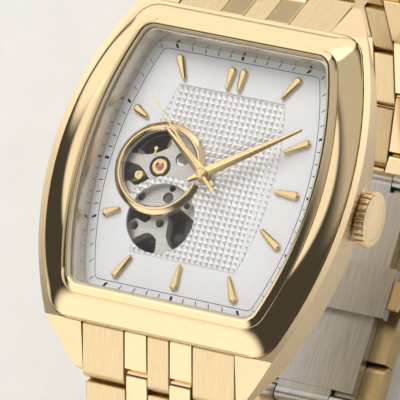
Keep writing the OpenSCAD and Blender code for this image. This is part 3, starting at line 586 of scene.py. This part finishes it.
@dataclass
class Case:
    """The case band, bezel, crystal, seals, back and crown.

    The bezel's outer edge follows an arch along the watch; its top and bottom are drawn in by
    tuck. The crown's sink is the depth of its skirt in the case.
    """

    rim: Barrel = Barrel(37.4, 40.0, 44.0, 3.4)
    opening: Barrel = Barrel(29.4, 32.4, 46.0, 1.6)
    shoulder: Barrel = Barrel(30.1, 33.3, 45.5, 2.0)
    lip: float = 1.1
    lip_top: float = DIAL_Z + 3.35
    lip_step: float = 0.7
    arch: float = 143.0
    tuck: float = 0.996
    ledge: float = 1.9
    seat: float = DIAL_Z + 2.7
    play: float = 0.13
    pane: float = 0.74
    crown_radius: float = 3.35
    crown_sink: float = 0.9
    dome: float = 0.42
    flutes: int = 22
    flute_steps: int = 12
    flute_depth: float = 0.26

    def build(self) -> None:
        """Makes every piece of the case."""
        refine("case_middle", SOFT_GOLD, "case", 0.22, 3, 26)
        self.bezel()
        self.glass()
        self.crown()
        refine("case_back", SATIN_GOLD, "case", 0.12)
        refine("back_screws", POLISHED_GOLD, "case", 0.05)
        dress(["back_glass"], CRYSTAL)
        dress(["gaskets"], NYLON)
        dress(["crown_gasket"], RUBBER)
        dress(["case_fittings", "winding_stem"], STEEL)

    def outline(self, grow: float, blend: float = 0.0) -> list[Point2]:
        """Draws an outline between the opening and the rim.

        Args:
            grow: Margin round the opening.
            blend: 0 at the opening, 1 at the rim.

        Returns:
            The outline's points.
        """
        near, far = self.opening.grown(grow).points(), self.rim.points()
        return [(a[0] + (b[0] - a[0]) * blend, a[1] + (b[1] - a[1]) * blend)
                for a, b in zip(near, far)]

    def edge_height(self, y: float) -> float:
        """Height of the bezel's arched outer edge at a place along the watch."""
        return DIAL_Z + self.ledge + 0.3 - y * y / (2 * self.arch)

    def bezel(self) -> None:
        """Lofts the bezel: a gently crowned slope up to the raised lip."""
        foot = self.lip_top - self.lip_step
        under = DIAL_Z + 0.2
        inner, far = self.shoulder.points(), self.rim.points()
        rings = [at_level(inner, under + 0.03), at_level(far, under, self.tuck),
                 at_level(far, under + 0.08)]
        for drop, scale in ((0.26, 1.0), (0.09, self.tuck)):
            rings.append([Vector((x * scale, y * scale, self.edge_height(y) - drop))
                          for x, y in far])
        for step in (0.97, 0.9, 0.75, 0.5, 0.25, 0.08, 0.0):
            crown = 0.16 * math.sin(math.pi * step) - (0.04 if step == 0.97 else 0.0)
            rings.append([Vector((x, y, foot + (self.edge_height(y) - foot) * step + crown))
                          for x, y in self.outline(self.lip, step)])
        top = self.lip_top
        for grow, z in ((self.lip - 0.02, foot + 0.16), (self.lip - 0.07, foot + 0.24),
                        (0.44, top - 0.08), (0.32, top), (0.14, top - 0.02), (0.05, top - 0.06),
                        (0.0, top - 0.18), (0.0, self.seat)):
            rings.append(at_level(self.outline(grow), z))
        rings.append(at_level(inner, self.seat - 0.03))
        work = Work()
        work.loft(rings, closed=True)
        work.done("bezel_ring", POLISHED_GOLD, "case", ["bezel"], crease=40)

    def glass(self) -> None:
        """Makes the flat crystal with its polished edge."""
        work = Work()
        work.plate(self.outline(-self.play), self.seat + 0.01, self.seat + self.pane)
        work.soften(0.12, 3)
        work.done("crystal_pane", CRYSTAL, "case", ["crystal"])

    def crown(self) -> None:
        """Lofts the fluted crown with its plain domed end, from its skirt outwards."""
        low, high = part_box("crown")
        x0, x1 = low.x / MM - self.crown_sink, high.x / MM
        z = (low.z + high.z) / 2 / MM
        count = self.flutes * self.flute_steps
        turns = [math.tau * i / count for i in range(count)]

        def ring(x: float, radius: float, deep: float) -> Ring:
            """One cross-section: wide round ridges, parted by narrow grooves."""
            reach = [radius - deep * (1 - abs(math.cos(self.flutes * a / 2))) ** 3 for a in turns]
            return [Vector((x, r * math.cos(a), z + r * math.sin(a)))
                    for a, r in zip(turns, reach)]

        full, deep = self.crown_radius, self.flute_depth
        root, side = x0 + self.crown_sink, x1 - self.dome
        # The bore, and the skirt that sinks into its seat in the case.
        sections = [(x0 + 1.6, 1.6, 0.0), (x0, 1.62, 0.0), (x0 + 0.03, full - 0.55, 0.0),
                    (x0 + 0.12, full - 0.42, 0.0), (root - 0.16, full - 0.4, 0.0)]
        # The flutes.
        sections += [(root - 0.1, full - 0.16, 1.0), (root - 0.02, full - 0.02, 1.0),
                     (root + 0.06, full, 1.0), (side - 0.2, full, 1.0),
                     (side - 0.12, full - 0.03, 0.9), (side - 0.03, full - 0.1, 0.5)]
        # The plain shoulder and the turned groove inside it.
        sections += [(side + out, full - drop, 0.0) for out, drop in (
            (0.03, 0.2), (0.08, 0.4), (0.1, 0.52), (0.02, 0.6), (0.04, 0.72), (0.16, 0.9))]
        # The domed end.
        sections += [(side + out, full * share, 0.0) for out, share in (
            (0.25, 0.62), (0.33, 0.48), (0.38, 0.32), (0.41, 0.16), (self.dome, 0.04))]
        rings = [ring(x, radius, deep * share) for x, radius, share in sections]
        work = Work()
        work.loft(rings, capped=True)
        work.done("crown_fluted", GRIP_GOLD, "crown", ["crown"], crease=62)


# ---- dial


@dataclass
class Dial:
    """The dial, its pressed centre, printed track, markers and the ring of the open heart.

    The pressed panel is given by its half width and half length. Its sides bulge; left of the
    heart they are hidden, so that the field stops at left_field and the line at left_line.
    """

    heart: Point2 = (-6.2, 0.0)
    heart_outer: float = 5.75
    heart_inner: float = 4.75
    window: Point2 = (-4.3, -5.9)
    window_radius: float = 4.3
    strip: float = 0.9
    strip_reach: float = 4.6
    hub_hole: float = 0.95
    panel: Point2 = (6.85, 10.5)
    bulge: float = 1.5
    left_margin: float = 2.3
    left_field: float = 3.5
    left_line: Point2 = (-9.7, 5.6)
    pitch: float = 0.735
    pyramid: float = 0.257
    sunk: float = 0.08
    depth: float = 0.12
    line: float = 0.07
    line_outer: Barrel = Barrel(25.5, 29.1, 42, 0.7)
    line_inner: Barrel = Barrel(25.36, 28.96, 42, 0.65)
    tick_start: Barrel = Barrel(25.9, 29.5, 42, 0.7)
    tick_stop: Barrel = Barrel(27.0, 30.5, 42, 0.8)
    hour_tick: float = 0.34
    minute_tick: float = 0.11
    ink: float = 0.015
    flange_foot: Barrel = Barrel(30.0, 33.2, 45.5, 2.0)
    marker_width: float = 1.0
    marker_height: float = 0.5

    def build(self) -> None:
        """Makes every piece of the dial."""
        dress(["dial"], SILVERED)
        self.hobnails()
        self.panel_edge()
        self.track()
        self.flange()
        self.markers()
        self.heart_ring()

    def side_line(self, grow: float, low: float, high: float) -> list[Point2]:
        """The panel's curved right edge, grown by a margin, between two heights up the dial."""
        heights = [low + (high - low) * i / 36 for i in range(37)]
        return [(self.panel[0] + grow + self.bulge * (1 - (y / self.panel[1]) ** 2), y)
                for y in heights]

    def well(self, centre: Point2, radius: float, reach: float = 1.0) -> Piece:
        """Makes a drum through the dial, to cut with.

        Args:
            centre: Where it stands.
            radius: Its radius.
            reach: How far below the dial's face it starts.

        Returns:
            The drum.
        """
        work = Work()
        work.drum(Vector((*centre, DIAL_Z - reach)), radius, 2 * reach + 1, steps=96)
        return work.cast("well")

    def hobnails(self) -> None:
        """Presses the field of pyramids and cuts the windows out of it."""
        tall = self.panel[1]
        wide = self.panel[0] + self.bulge
        left = -wide - self.left_margin
        columns = round((wide - left) / self.pitch)
        rows = round(2 * tall / self.pitch)
        place = Matrix.Translation(((wide + left) / 2, 0, DIAL_Z - self.sunk))
        work = Work()
        bmesh.ops.create_grid(work.bm, x_segments=columns, y_segments=rows, size=0.5,
                              matrix=place @ Matrix.Diagonal((wide - left, 2 * tall, 1, 1)))
        # Left of the pressed panel only the strip inside the ring carries pyramids.
        stray = [f for f in work.bm.faces
                 if f.calc_center_median().x < -wide
                 and (f.calc_center_median().xy - Vector(self.heart)).length > self.strip_reach]
        bmesh.ops.delete(work.bm, geom=stray, context="FACES")
        work.extrude(work.bm.faces[:], Vector((0, 0, -self.depth)))
        work.face_out()
        peaks = [f for f in work.bm.faces if f.normal.z > 0.9]
        bmesh.ops.poke(work.bm, faces=peaks, offset=self.pyramid)
        piece = work.done("hobnail_panel", PYRAMIDS, "case", crease=10)
        # Inside the ring all is open but the strip round the lower window.
        opening = self.well(self.heart, self.heart_inner)
        cut_away(opening, self.well(self.window, self.window_radius + self.strip, 2.0))
        cut_away(piece, opening)
        cut_away(piece, self.well(self.window, self.window_radius))
        cut_away(piece, self.well((0.0, 0.0), self.hub_hole))
        # What lies outside the field's curved sides.
        far = wide + 3
        for side, low, high, below, above in ((1, -tall, tall, 1, 1),
                                              (-1, self.left_field, tall, 0, 1),
                                              (-1, -tall, -self.left_field, 1, 0)):
            edge = self.side_line(0.0, low, high) + [(far, high + above), (far, low - below)]
            spare = Work()
            spare.plate([(side * x, y) for x, y in edge], DIAL_Z - 1, DIAL_Z + 2)
            cut_away(piece, spare.cast("spare"))

    def panel_edge(self) -> None:
        """Draws the fine bright line round the pressed panel."""
        wide, tall = self.panel
        low, high = DIAL_Z, DIAL_Z + 0.02
        work = Work()
        for y in (-tall - self.line, tall):
            work.plate([(-wide, y), (wide, y), (wide, y + self.line), (-wide, y + self.line)],
                       low, high)
        below, above = self.left_line
        for side, start, stop in ((1, -tall, tall), (-1, above, tall), (-1, -tall, below)):
            strip = (self.side_line(0.0, start, stop)
                     + self.side_line(self.line, start, stop)[::-1])
            work.plate([(side * x, y) for x, y in strip], low, high)
        work.done("panel_line", RHODIUM, "case")

    def crossing(self, outline: Sequence[Point2], angle: float) -> Vector:
        """Where a ray from the centre leaves an outline.

        Args:
            outline: A closed outline round the centre.
            angle: The ray's angle from +X, in radians.

        Returns:
            The point on the outline.
        """
        ray = Vector((math.cos(angle), math.sin(angle))) * 30
        hits = (intersect_line_line_2d((0, 0), ray, outline[i - 1], end)
                for i, end in enumerate(outline))
        return next(hit for hit in hits if hit)

    def track(self) -> None:
        """Prints the minute track: its inner line and sixty ticks."""
        low, high = DIAL_Z, DIAL_Z + self.ink
        outer, inner = self.line_outer.points(), self.line_inner.points()
        ring = Work()
        ring.loft([at_level(outer, low), at_level(outer, high), at_level(inner, high - 0.004),
                   at_level(inner, low + 0.004)], closed=True)
        ring.done("track_line", INK, "case")
        start, stop = self.tick_start.points(), self.tick_stop.points()
        ticks = Work()
        for minute in range(60):
            a = math.radians(90 - 6 * minute)
            p, q = self.crossing(start, a), self.crossing(stop, a)
            half = (self.minute_tick if minute % 5 else self.hour_tick) / 2
            along = q - p
            across = abs(along.x) > abs(along.y) * 1.1
            side = Vector((0, half)) if across else Vector((half, 0))
            ticks.plate([tuple(p - side), tuple(p + side), tuple(q + side), tuple(q - side)],
                        low, high)
        ticks.done("minute_ticks", INK, "case")

    def flange(self) -> None:
        """Lofts the sloped ring between the dial and the crystal."""
        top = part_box("rehaut_ring")[1].z / MM
        outer = self.flange_foot.points()
        rings = [at_level(outer, DIAL_Z + 0.03)]
        for width, length, up in ((27.6, 30.7, 0.0), (27.64, 30.74, 0.25), (27.9, 31.0, 1.2),
                                  (28.5, 31.5, 2.5), (28.7, 31.7, top - DIAL_Z)):
            rings.append(at_level(Barrel(width, length, 45.4, 1.6).points(), DIAL_Z + up))
        rings.append(at_level(outer, top - 0.04))
        work = Work()
        work.loft(rings, closed=True)
        work.done("flange", FLANGE, "case", ["rehaut_ring"], crease=50)

    def baton(self, work: Work, inner: Vector, outer: Vector) -> None:
        """Adds one marker: a tapered baton with a round head and cut sides.

        Args:
            work: The bench that it is added to.
            inner: Its inner end.
            outer: Its outer end.
        """
        along = (outer - inner).normalized()
        side = Vector((-along.y, along.x))
        length = (outer - inner).length
        half = self.marker_width / 2
        head = arc((length - half, 0.0), half, -90, 90, 12)
        shape = [(0.0, -half * 0.5), *head, (0.0, half * 0.5)]
        points = [inner + along * s + side * t for s, t in shape]
        work.plate([tuple(p) for p in points], DIAL_Z, DIAL_Z + self.marker_height)

    def markers(self) -> None:
        """Makes the eleven applied markers, with a plain pair at 12."""
        work = Work()
        ends: list[tuple[Point2, Point2]] = [((8.75, 0.0), (12.0, 0.0)),
                                             ((0.0, -10.8), (0.0, -14.0))]
        for s in (-1, 1):
            ends += [((s * 0.75, 10.8), (s * 0.75, 13.7)),
                     ((-9.5, s * 5.7), (-11.6, s * 6.75)), ((8.55, s * 4.75), (11.45, s * 6.6))]
            ends += [((s * 6.35, t * 11.0), (s * 7.95, t * 13.95)) for t in (-1, 1)]
        for inner, outer in ends:
            self.baton(work, Vector(inner), Vector(outer))
        work.soften(0.2, 1, 60)
        work.done("applied_markers", CUT_GOLD, "case", ["hour_markers"])

    def heart_ring(self) -> None:
        """Turns the open heart's ring, stepped on its outside and parted at the hands."""
        outer, inner = self.heart_outer, self.heart_inner
        z = DIAL_Z - 0.04
        profile = [(inner, z), (outer, z), (outer, z + 0.14), (outer - 0.06, z + 0.21),
                   (outer - 0.5, z + 0.43), (outer - 0.53, z + 0.54), (outer - 0.6, z + 0.59),
                   (inner + 0.22, z + 0.59), (inner + 0.12, z + 0.5), (inner + 0.08, z + 0.4),
                   (inner, z + 0.34)]
        work = Work()
        work.turn(profile, self.heart, 110, 12.5, 335)
        work.done("heart_bezel", POLISHED_GOLD, "case", ["heart_ring"], crease=26)


# ---- hands


@dataclass
class Hands:
    """The three hands: two with a ridge along the middle, and a needle.

    flank, ridge and hub are heights; the angles are those of the time shown, from +X.
    """

    width: float = 1.3
    flank: float = 0.13
    ridge: float = 0.07
    hub: float = 0.2
    hour_length: float = 8.1
    minute_length: float = 13.1
    seconds_length: float = 12.8
    hour_angle: float = 90 - 10.2 * 30
    minute_angle: float = 90 - 9.1 * 6
    seconds_angle: float = 90 - 52 * 6

    def build(self) -> None:
        """Makes the hands."""
        self.baton_hand("hour_hand", "hour", self.hour_length, 1.7, 0.8, self.hour_angle)
        self.baton_hand("minute_hand", "minute", self.minute_length, 1.9, 0.7, self.minute_angle)
        self.needle()

    def baton_hand(self, node: str, body: str, length: float, tail: float, hub: float,
                   angle: float) -> None:
        """Makes a tapered hand whose two slopes meet in a ridge.

        Args:
            node: The hand's node.
            body: The body that it rides on.
            length: From the axis to the tip.
            tail: From the axis to the tail's end.
            hub: Radius of the hub.
            angle: Where it points, from +X, in degrees.
        """
        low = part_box(node)[0].z / MM
        half = self.width / 2
        work = Work()
        edge = [(-tail, half * 0.34), (-tail * 0.4, half * 0.62), (0.0, half),
                (length * 0.5, half * 0.72), (length - 0.2, 0.16), (length, 0.03)]
        work.plate([(x, -y) for x, y in edge] + edge[::-1], low, low + self.flank)
        roof = [f for f in work.bm.faces if f.normal.z > 0.9]
        raised = work.extrude(roof, Vector((0, 0, self.ridge)))
        bmesh.ops.delete(work.bm, geom=roof, context="FACES_ONLY")
        bmesh.ops.scale(work.bm, verts=raised, vec=Vector((1, 0.08, 1)))
        work.drum(Vector((0, 0, low)), hub, self.hub, steps=56)
        work.drum(Vector((0, 0, low + self.hub)), hub * 0.92, 0.08, top=hub * 0.8, steps=56)
        work.place(Matrix.Rotation(math.radians(angle), 4, "Z"))
        work.done(node + "_cut", CUT_GOLD, body, [node], crease=20)

    def needle(self) -> None:
        """Makes the seconds hand with its round cap."""
        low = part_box("seconds_hand")[0].z / MM
        work = Work()
        edge = [(-3.0, 0.2), (-2.9, 0.21), (0.0, 0.16), (self.seconds_length, 0.05)]
        work.plate([(x, -y) for x, y in edge] + edge[::-1], low, low + self.flank)
        work.drum(Vector((0, 0, low)), 0.62, self.hub, steps=48)
        work.drum(Vector((0, 0, low + self.hub)), 0.58, 0.09, top=0.46, steps=48)
        work.drum(Vector((0, 0, low + 0.28)), 0.22, 0.05, top=0.2, steps=32)
        work.place(Matrix.Rotation(math.radians(self.seconds_angle), 4, "Z"))
        work.done("seconds_hand_cut", CUT_GOLD, "seconds", ["seconds_hand"], crease=20)


# ---- movement


@dataclass
class Movement:
    """What shows of the works through the heart and through the back."""

    balance: Point2 = (-6.7, 0.4)
    stud_at: Point2 = (-7.8, 2.45)
    screw_at: Point2 = (-9.0, -1.1)

    def build(self) -> None:
        """Makes and dresses the works."""
        for node, finish, body, width in (
                ("heart_bridge", RHODIUM, "case", 0.06), ("main_plate", RHODIUM, "case", 0.06),
                ("train_bridges", STRIPED, "case", 0.08), ("balance_cock", RHODIUM, "case", 0.06),
                ("movement_screws", BRASS, "case", 0.05),
                ("balance_wheel", BRONZE, "balance", 0.05), ("rotor", STRIPED, "rotor", 0.08)):
            refine(node, finish, body, width)
        dress(["movement_ring"], DARK_STEEL)
        dress(["barrel"], BRASS)
        dress(["hour_wheel", "center_wheel", "third_wheel", "fourth_wheel"], RHODIUM)
        dress(["escape_wheel", "pallet_fork", "ratchet_wheel"], STEEL)
        dress(["hairspring"], BLUED)
        dress(["jewels"], RUBY)
        self.chaton()
        self.stud()

    def stud(self) -> None:
        """Makes the hairspring's gilt stud at the bridge's edge, and the bridge's gilt screw."""
        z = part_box("heart_bridge")[1].z / MM
        x, y = self.stud_at
        work = Work()
        left, right, low, high = x - 0.1, x + 0.1, y - 0.9, y + 0.3
        work.plate([(left, low), (right, low), (right, high), (left, high)], z - 0.06, z + 0.1)
        work.turn([(0.0, z - 0.2), (0.27, z - 0.2), (0.27, z + 0.12), (0.22, z + 0.17),
                   (0.0, z + 0.17)], (x, y), 32)
        work.turn([(0.0, z - 0.3), (0.24, z - 0.3), (0.24, z), (0.58, z), (0.58, z + 0.1),
                   (0.5, z + 0.16), (0.2, z + 0.16), (0.15, z + 0.05), (0.0, z + 0.05)],
                  self.screw_at, 40)
        work.done("heart_stud", CUT_GOLD, "case")

    def chaton(self) -> None:
        """Turns the gold setting round the balance's jewel, with its sprung ring."""
        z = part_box("heart_bridge")[1].z / MM
        for name, finish, steps, profile in (
                ("jewel_setting", CUT_GOLD, 48, ((0.38, -0.1), (0.98, -0.1), (0.98, 0.1),
                                                 (0.9, 0.16), (0.56, 0.16), (0.38, 0.04))),
                ("setting_groove", DARK_STEEL, 48, ((0.98, -0.05), (1.34, -0.05),
                                                    (1.34, 0.015), (0.98, 0.015))),
                ("cap_jewel", RUBY, 40, ((0.0, -0.02), (0.38, -0.02), (0.38, 0.05),
                                         (0.3, 0.11), (0.16, 0.14), (0.0, 0.15)))):
            work = Work()
            work.turn([(r, z + up) for r, up in profile], self.balance, steps)
            work.done(name, finish, "case")


# ---- bracelet


@dataclass
class Bracelet:
    """End links, nine hinged rows a side and the clasp.

    The droop is each row's slope below the dial's plane, in degrees. The end links reach from
    their pin past the wall between the lugs, where they are cut off.
    """

    pin: Point2 = (24.1, 4.5)
    clasp_y: float = 1.45
    droop: tuple[float, ...] = (40, 61, 80.5, 98, 116, 134.5, 156, 180, 180)
    end_droop: float = 39.0
    thick: float = 2.6
    first_width: float = 19.2
    taper: float = 0.12
    outer_share: float = 0.277
    polished_share: float = 0.15
    gap: float = 0.08
    seam: float = 0.05
    edge: float = 0.13
    pin_radius: float = 0.5
    pin_inset: float = 0.12
    end_width: float = 20.0
    reach: float = 9.0
    wall: float = 18.7

    def build(self) -> None:
        """Makes both halves of the bracelet and the clasp."""
        for name, flip in (("12", False), ("6", True)):
            self.end_link(name, flip)
            start = Vector((0, *self.pin))
            for i, angle in enumerate(self.droop):
                place = Matrix.Translation(start) @ Matrix.Rotation(-math.radians(angle), 4, "X")
                self.row(f"link_{name}_{i + 1}", i, place, flip)
                start = place @ Vector((0, self.pitch, 0))
        for node in ("clasp_arm_12", "clasp_arm_6", "clasp_base"):
            refine(node, STEEL, node, 0.08)
        for node in ("clasp_button_3", "clasp_button_9"):
            refine(node, SATIN_GOLD, node, 0.12)
        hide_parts("end_links")

    @property
    def pitch(self) -> float:
        """Distance between a row's pins."""
        return (self.pin[0] - self.clasp_y) / -sum(math.cos(math.radians(d)) for d in self.droop)

    def halves(self, width: float, *spans: Span) -> list[Work]:
        """Lays out a row: three satin links, and the two polished ones between them.

        Each link is a bar whose ends are half rounds about a pin, or straight.

        Args:
            width: The row's width.
            spans: For the satin links and for the polished ones, where they start and stop
                along the row, and whether each of these ends is round.

        Returns:
            The satin half and the polished half.
        """
        r, half = self.thick / 2, width / 2
        outer, bright = width * self.outer_share, width * self.polished_share
        edges = [-half, -half + outer, -half + outer + bright, half - outer - bright,
                 half - outer, half]
        works = []
        for columns, (start, stop, round_start, round_stop) in zip(((0, 2, 4), (1, 3)), spans):
            first = arc((start, 0), r, 270, 90, 12) if round_start else [(start, -r), (start, r)]
            last = arc((stop, 0), r, 90, -90, 12) if round_stop else [(stop, r), (stop, -r)]
            work = Work()
            for i in columns:
                work.side_prism(first + last, edges[i] + self.seam / 2,
                                edges[i + 1] - self.seam / 2)
            works.append(work)
        return works

    def finish(self, halves: Iterable[Work], name: str, place: Matrix, flip: bool, body: str,
               replaces: Sequence[str]) -> None:
        """Breaks a row's edges and hangs it on its body.

        Args:
            halves: Its satin half and its polished half.
            name: Start of their names.
            place: Where the row lies.
            flip: Whether it is on the 6 o'clock side.
            body: The body that it rides on.
            replaces: The nodes that it stands for.
        """
        for work, label, coat in zip(halves, ("satin", "bright"), (SATIN_GOLD, POLISHED_GOLD)):
            work.soften(self.edge, 3, 40)
            work.place(place)
            if flip:
                work.mirror_y()
            work.done(f"{name}_{label}", coat, body, replaces if label == "satin" else ())

    def row(self, node: str, index: int, place: Matrix, flip: bool) -> None:
        """Makes one row and its pin.

        Args:
            node: The row's node, and its body.
            index: Which row it is, from 0 at the case.
            place: Where it lies.
            flip: Whether it is on the 6 o'clock side.
        """
        width = self.first_width - self.taper * index
        back = self.thick / 2 + self.gap
        satin, bright = self.halves(width, (back, self.pitch, False, True),
                                    (0.0, self.pitch - back, True, False))
        satin.drum(Vector((self.pin_inset - width / 2, self.pitch, 0)), self.pin_radius,
                   width - 2 * self.pin_inset, "X", steps=24)
        self.finish((satin, bright), node, place, flip, node, [node])

    def end_link(self, name: str, flip: bool) -> None:
        """Makes the link that fills the gap between two lugs.

        Args:
            name: The side's name.
            flip: Whether it is on the 6 o'clock side.
        """
        place = (Matrix.Translation(Vector((0, *self.pin)))
                 @ Matrix.Rotation(-math.radians(self.end_droop), 4, "X"))
        halves = self.halves(self.end_width, (-self.reach, 0.0, False, True),
                             (-self.reach, -self.thick / 2 - self.gap, False, False))
        inward = place.inverted() @ Vector((0, self.wall, 0))
        up = place.inverted() @ Vector((0, 0, DIAL_Z + 0.15))
        turn = place.to_3x3().inverted()
        for work in halves:
            work.slice(inward, turn @ Vector((0, -1, 0)))
            work.slice(up, turn @ Vector((0, 0, 1)))
        self.finish(halves, f"end_link_{name}", place, flip, "case", [])


# ---- studio


@dataclass(frozen=True)
class SoftBox:
    """A patch of light round the watch: where it hangs, how wide it is and how bright."""

    aim: Point3
    inner: float
    outer: float
    level: float


@dataclass
class Studio:
    """Floor, soft lights and camera."""

    floor_z: float = -41.85
    floor_size: float = 4000.0
    lens: float = 482.4
    eye: Point3 = (254.06, -122.66, 572.34)
    tilt: Point3 = (17.653, 20.113, 17.524)
    cloth: float = 0.06
    boxes: tuple[SoftBox, ...] = (SoftBox((-0.38, -0.82, 0.43), 0.95, 0.72, 1.15),
                                  SoftBox((-0.42, 0.8, 0.42), 0.79, 0.745, 1.05),
                                  SoftBox((-0.4, 0.19, 0.895), 0.985, 0.96, 0.95),
                                  SoftBox((0.3, 0.6, 0.74), 0.93, 0.8, 0.5),
                                  SoftBox((0.87, 0.19, 0.44), 0.985, 0.94, 0.4))

    def build(self) -> None:
        """Sets the studio up."""
        self.floor()
        self.world()
        self.lamp("key panel", (-260, 420, 430), 300, 2.9)
        self.lamp("fill panel", (420, -260, 460), 360, 0.7)
        self.camera()
        bpy.context.scene.view_settings.view_transform = "Standard"

    def floor(self) -> None:
        """Lays the pale floor."""
        work = Work()
        bmesh.ops.create_grid(work.bm, x_segments=1, y_segments=1, size=self.floor_size,
                              matrix=Matrix.Translation((0, 0, self.floor_z)))
        floor = work.cast("floor")
        floor.data.materials.append(PAPER.make())

    def world(self) -> None:
        """Surrounds the watch with dark cloth and soft boxes; the camera sees pale paper."""
        world = bpy.data.worlds.new("studio")
        bpy.context.scene.world = world
        world.use_nodes = True
        tree = world.node_tree
        sky, out = tree.nodes["Background"], tree.nodes["World Output"]
        place = add(tree, "TexCoord")
        total: bpy.types.NodeSocket | None = None
        for box in self.boxes:
            aim = Vector(box.aim).normalized()
            near = add(tree, "VectorMath", {0: place.outputs["Generated"]}, {1: aim},
                       operation="DOT_PRODUCT")
            glow = add(tree, "MapRange", {"Value": near.outputs["Value"]},
                       {"From Min": box.outer, "From Max": box.inner, "To Max": box.level},
                       interpolation_type="SMOOTHSTEP")
            total = glow.outputs["Result"] if total is None else add(
                tree, "Math", {0: total, 1: glow.outputs["Result"]}).outputs["Value"]
        level = add(tree, "Math", {0: total}, {1: self.cloth})
        tree.links.new(level.outputs["Value"], sky.inputs["Strength"])
        put(sky, {"Color": linear("#FFFCF7")})
        paper = add(tree, "Background", values={"Color": linear("#F2F0EC"), "Strength": 1.0})
        seen = add(tree, "LightPath")
        mix = add(tree, "MixShader", {"Fac": seen.outputs["Is Camera Ray"],
                                      1: sky.outputs["Background"],
                                      2: paper.outputs["Background"]})
        tree.links.new(mix.outputs["Shader"], out.inputs["Surface"])

    def lamp(self, name: str, spot: Point3, size: float,
             power: float) -> None:
        """Hangs a soft square lamp that faces the watch.

        Args:
            name: Its name.
            spot: Where it hangs.
            size: Its width.
            power: Its power, in watts.
        """
        light = bpy.data.lights.new(name, "AREA")
        light.energy, light.size = power, size * MM
        lamp = hang(name, light, spot)
        lamp.rotation_euler = (-Vector(spot)).to_track_quat("-Z", "Y").to_euler()
        lamp.visible_camera = lamp.visible_glossy = False

    def camera(self) -> None:
        """Sets the long lens up."""
        data = bpy.data.cameras.new("camera")
        data.lens, data.sensor_width = self.lens, 36.0
        data.clip_start, data.clip_end = 0.05, 20.0
        camera = hang("camera", data, self.eye)
        camera.rotation_euler = tuple(math.radians(a) for a in self.tilt)
        bpy.context.scene.camera = camera


def main() -> None:
    """Builds the watch part by part, then the studio round it."""
    logging.basicConfig(level=logging.INFO, format="%(message)s")
    for part in (Studio(), Case(), Dial(), Hands(), Movement(), Bracelet()):
        part.build()
        log.info("%s is ready", type(part).__name__)


if __name__ == "__main__":
    main()
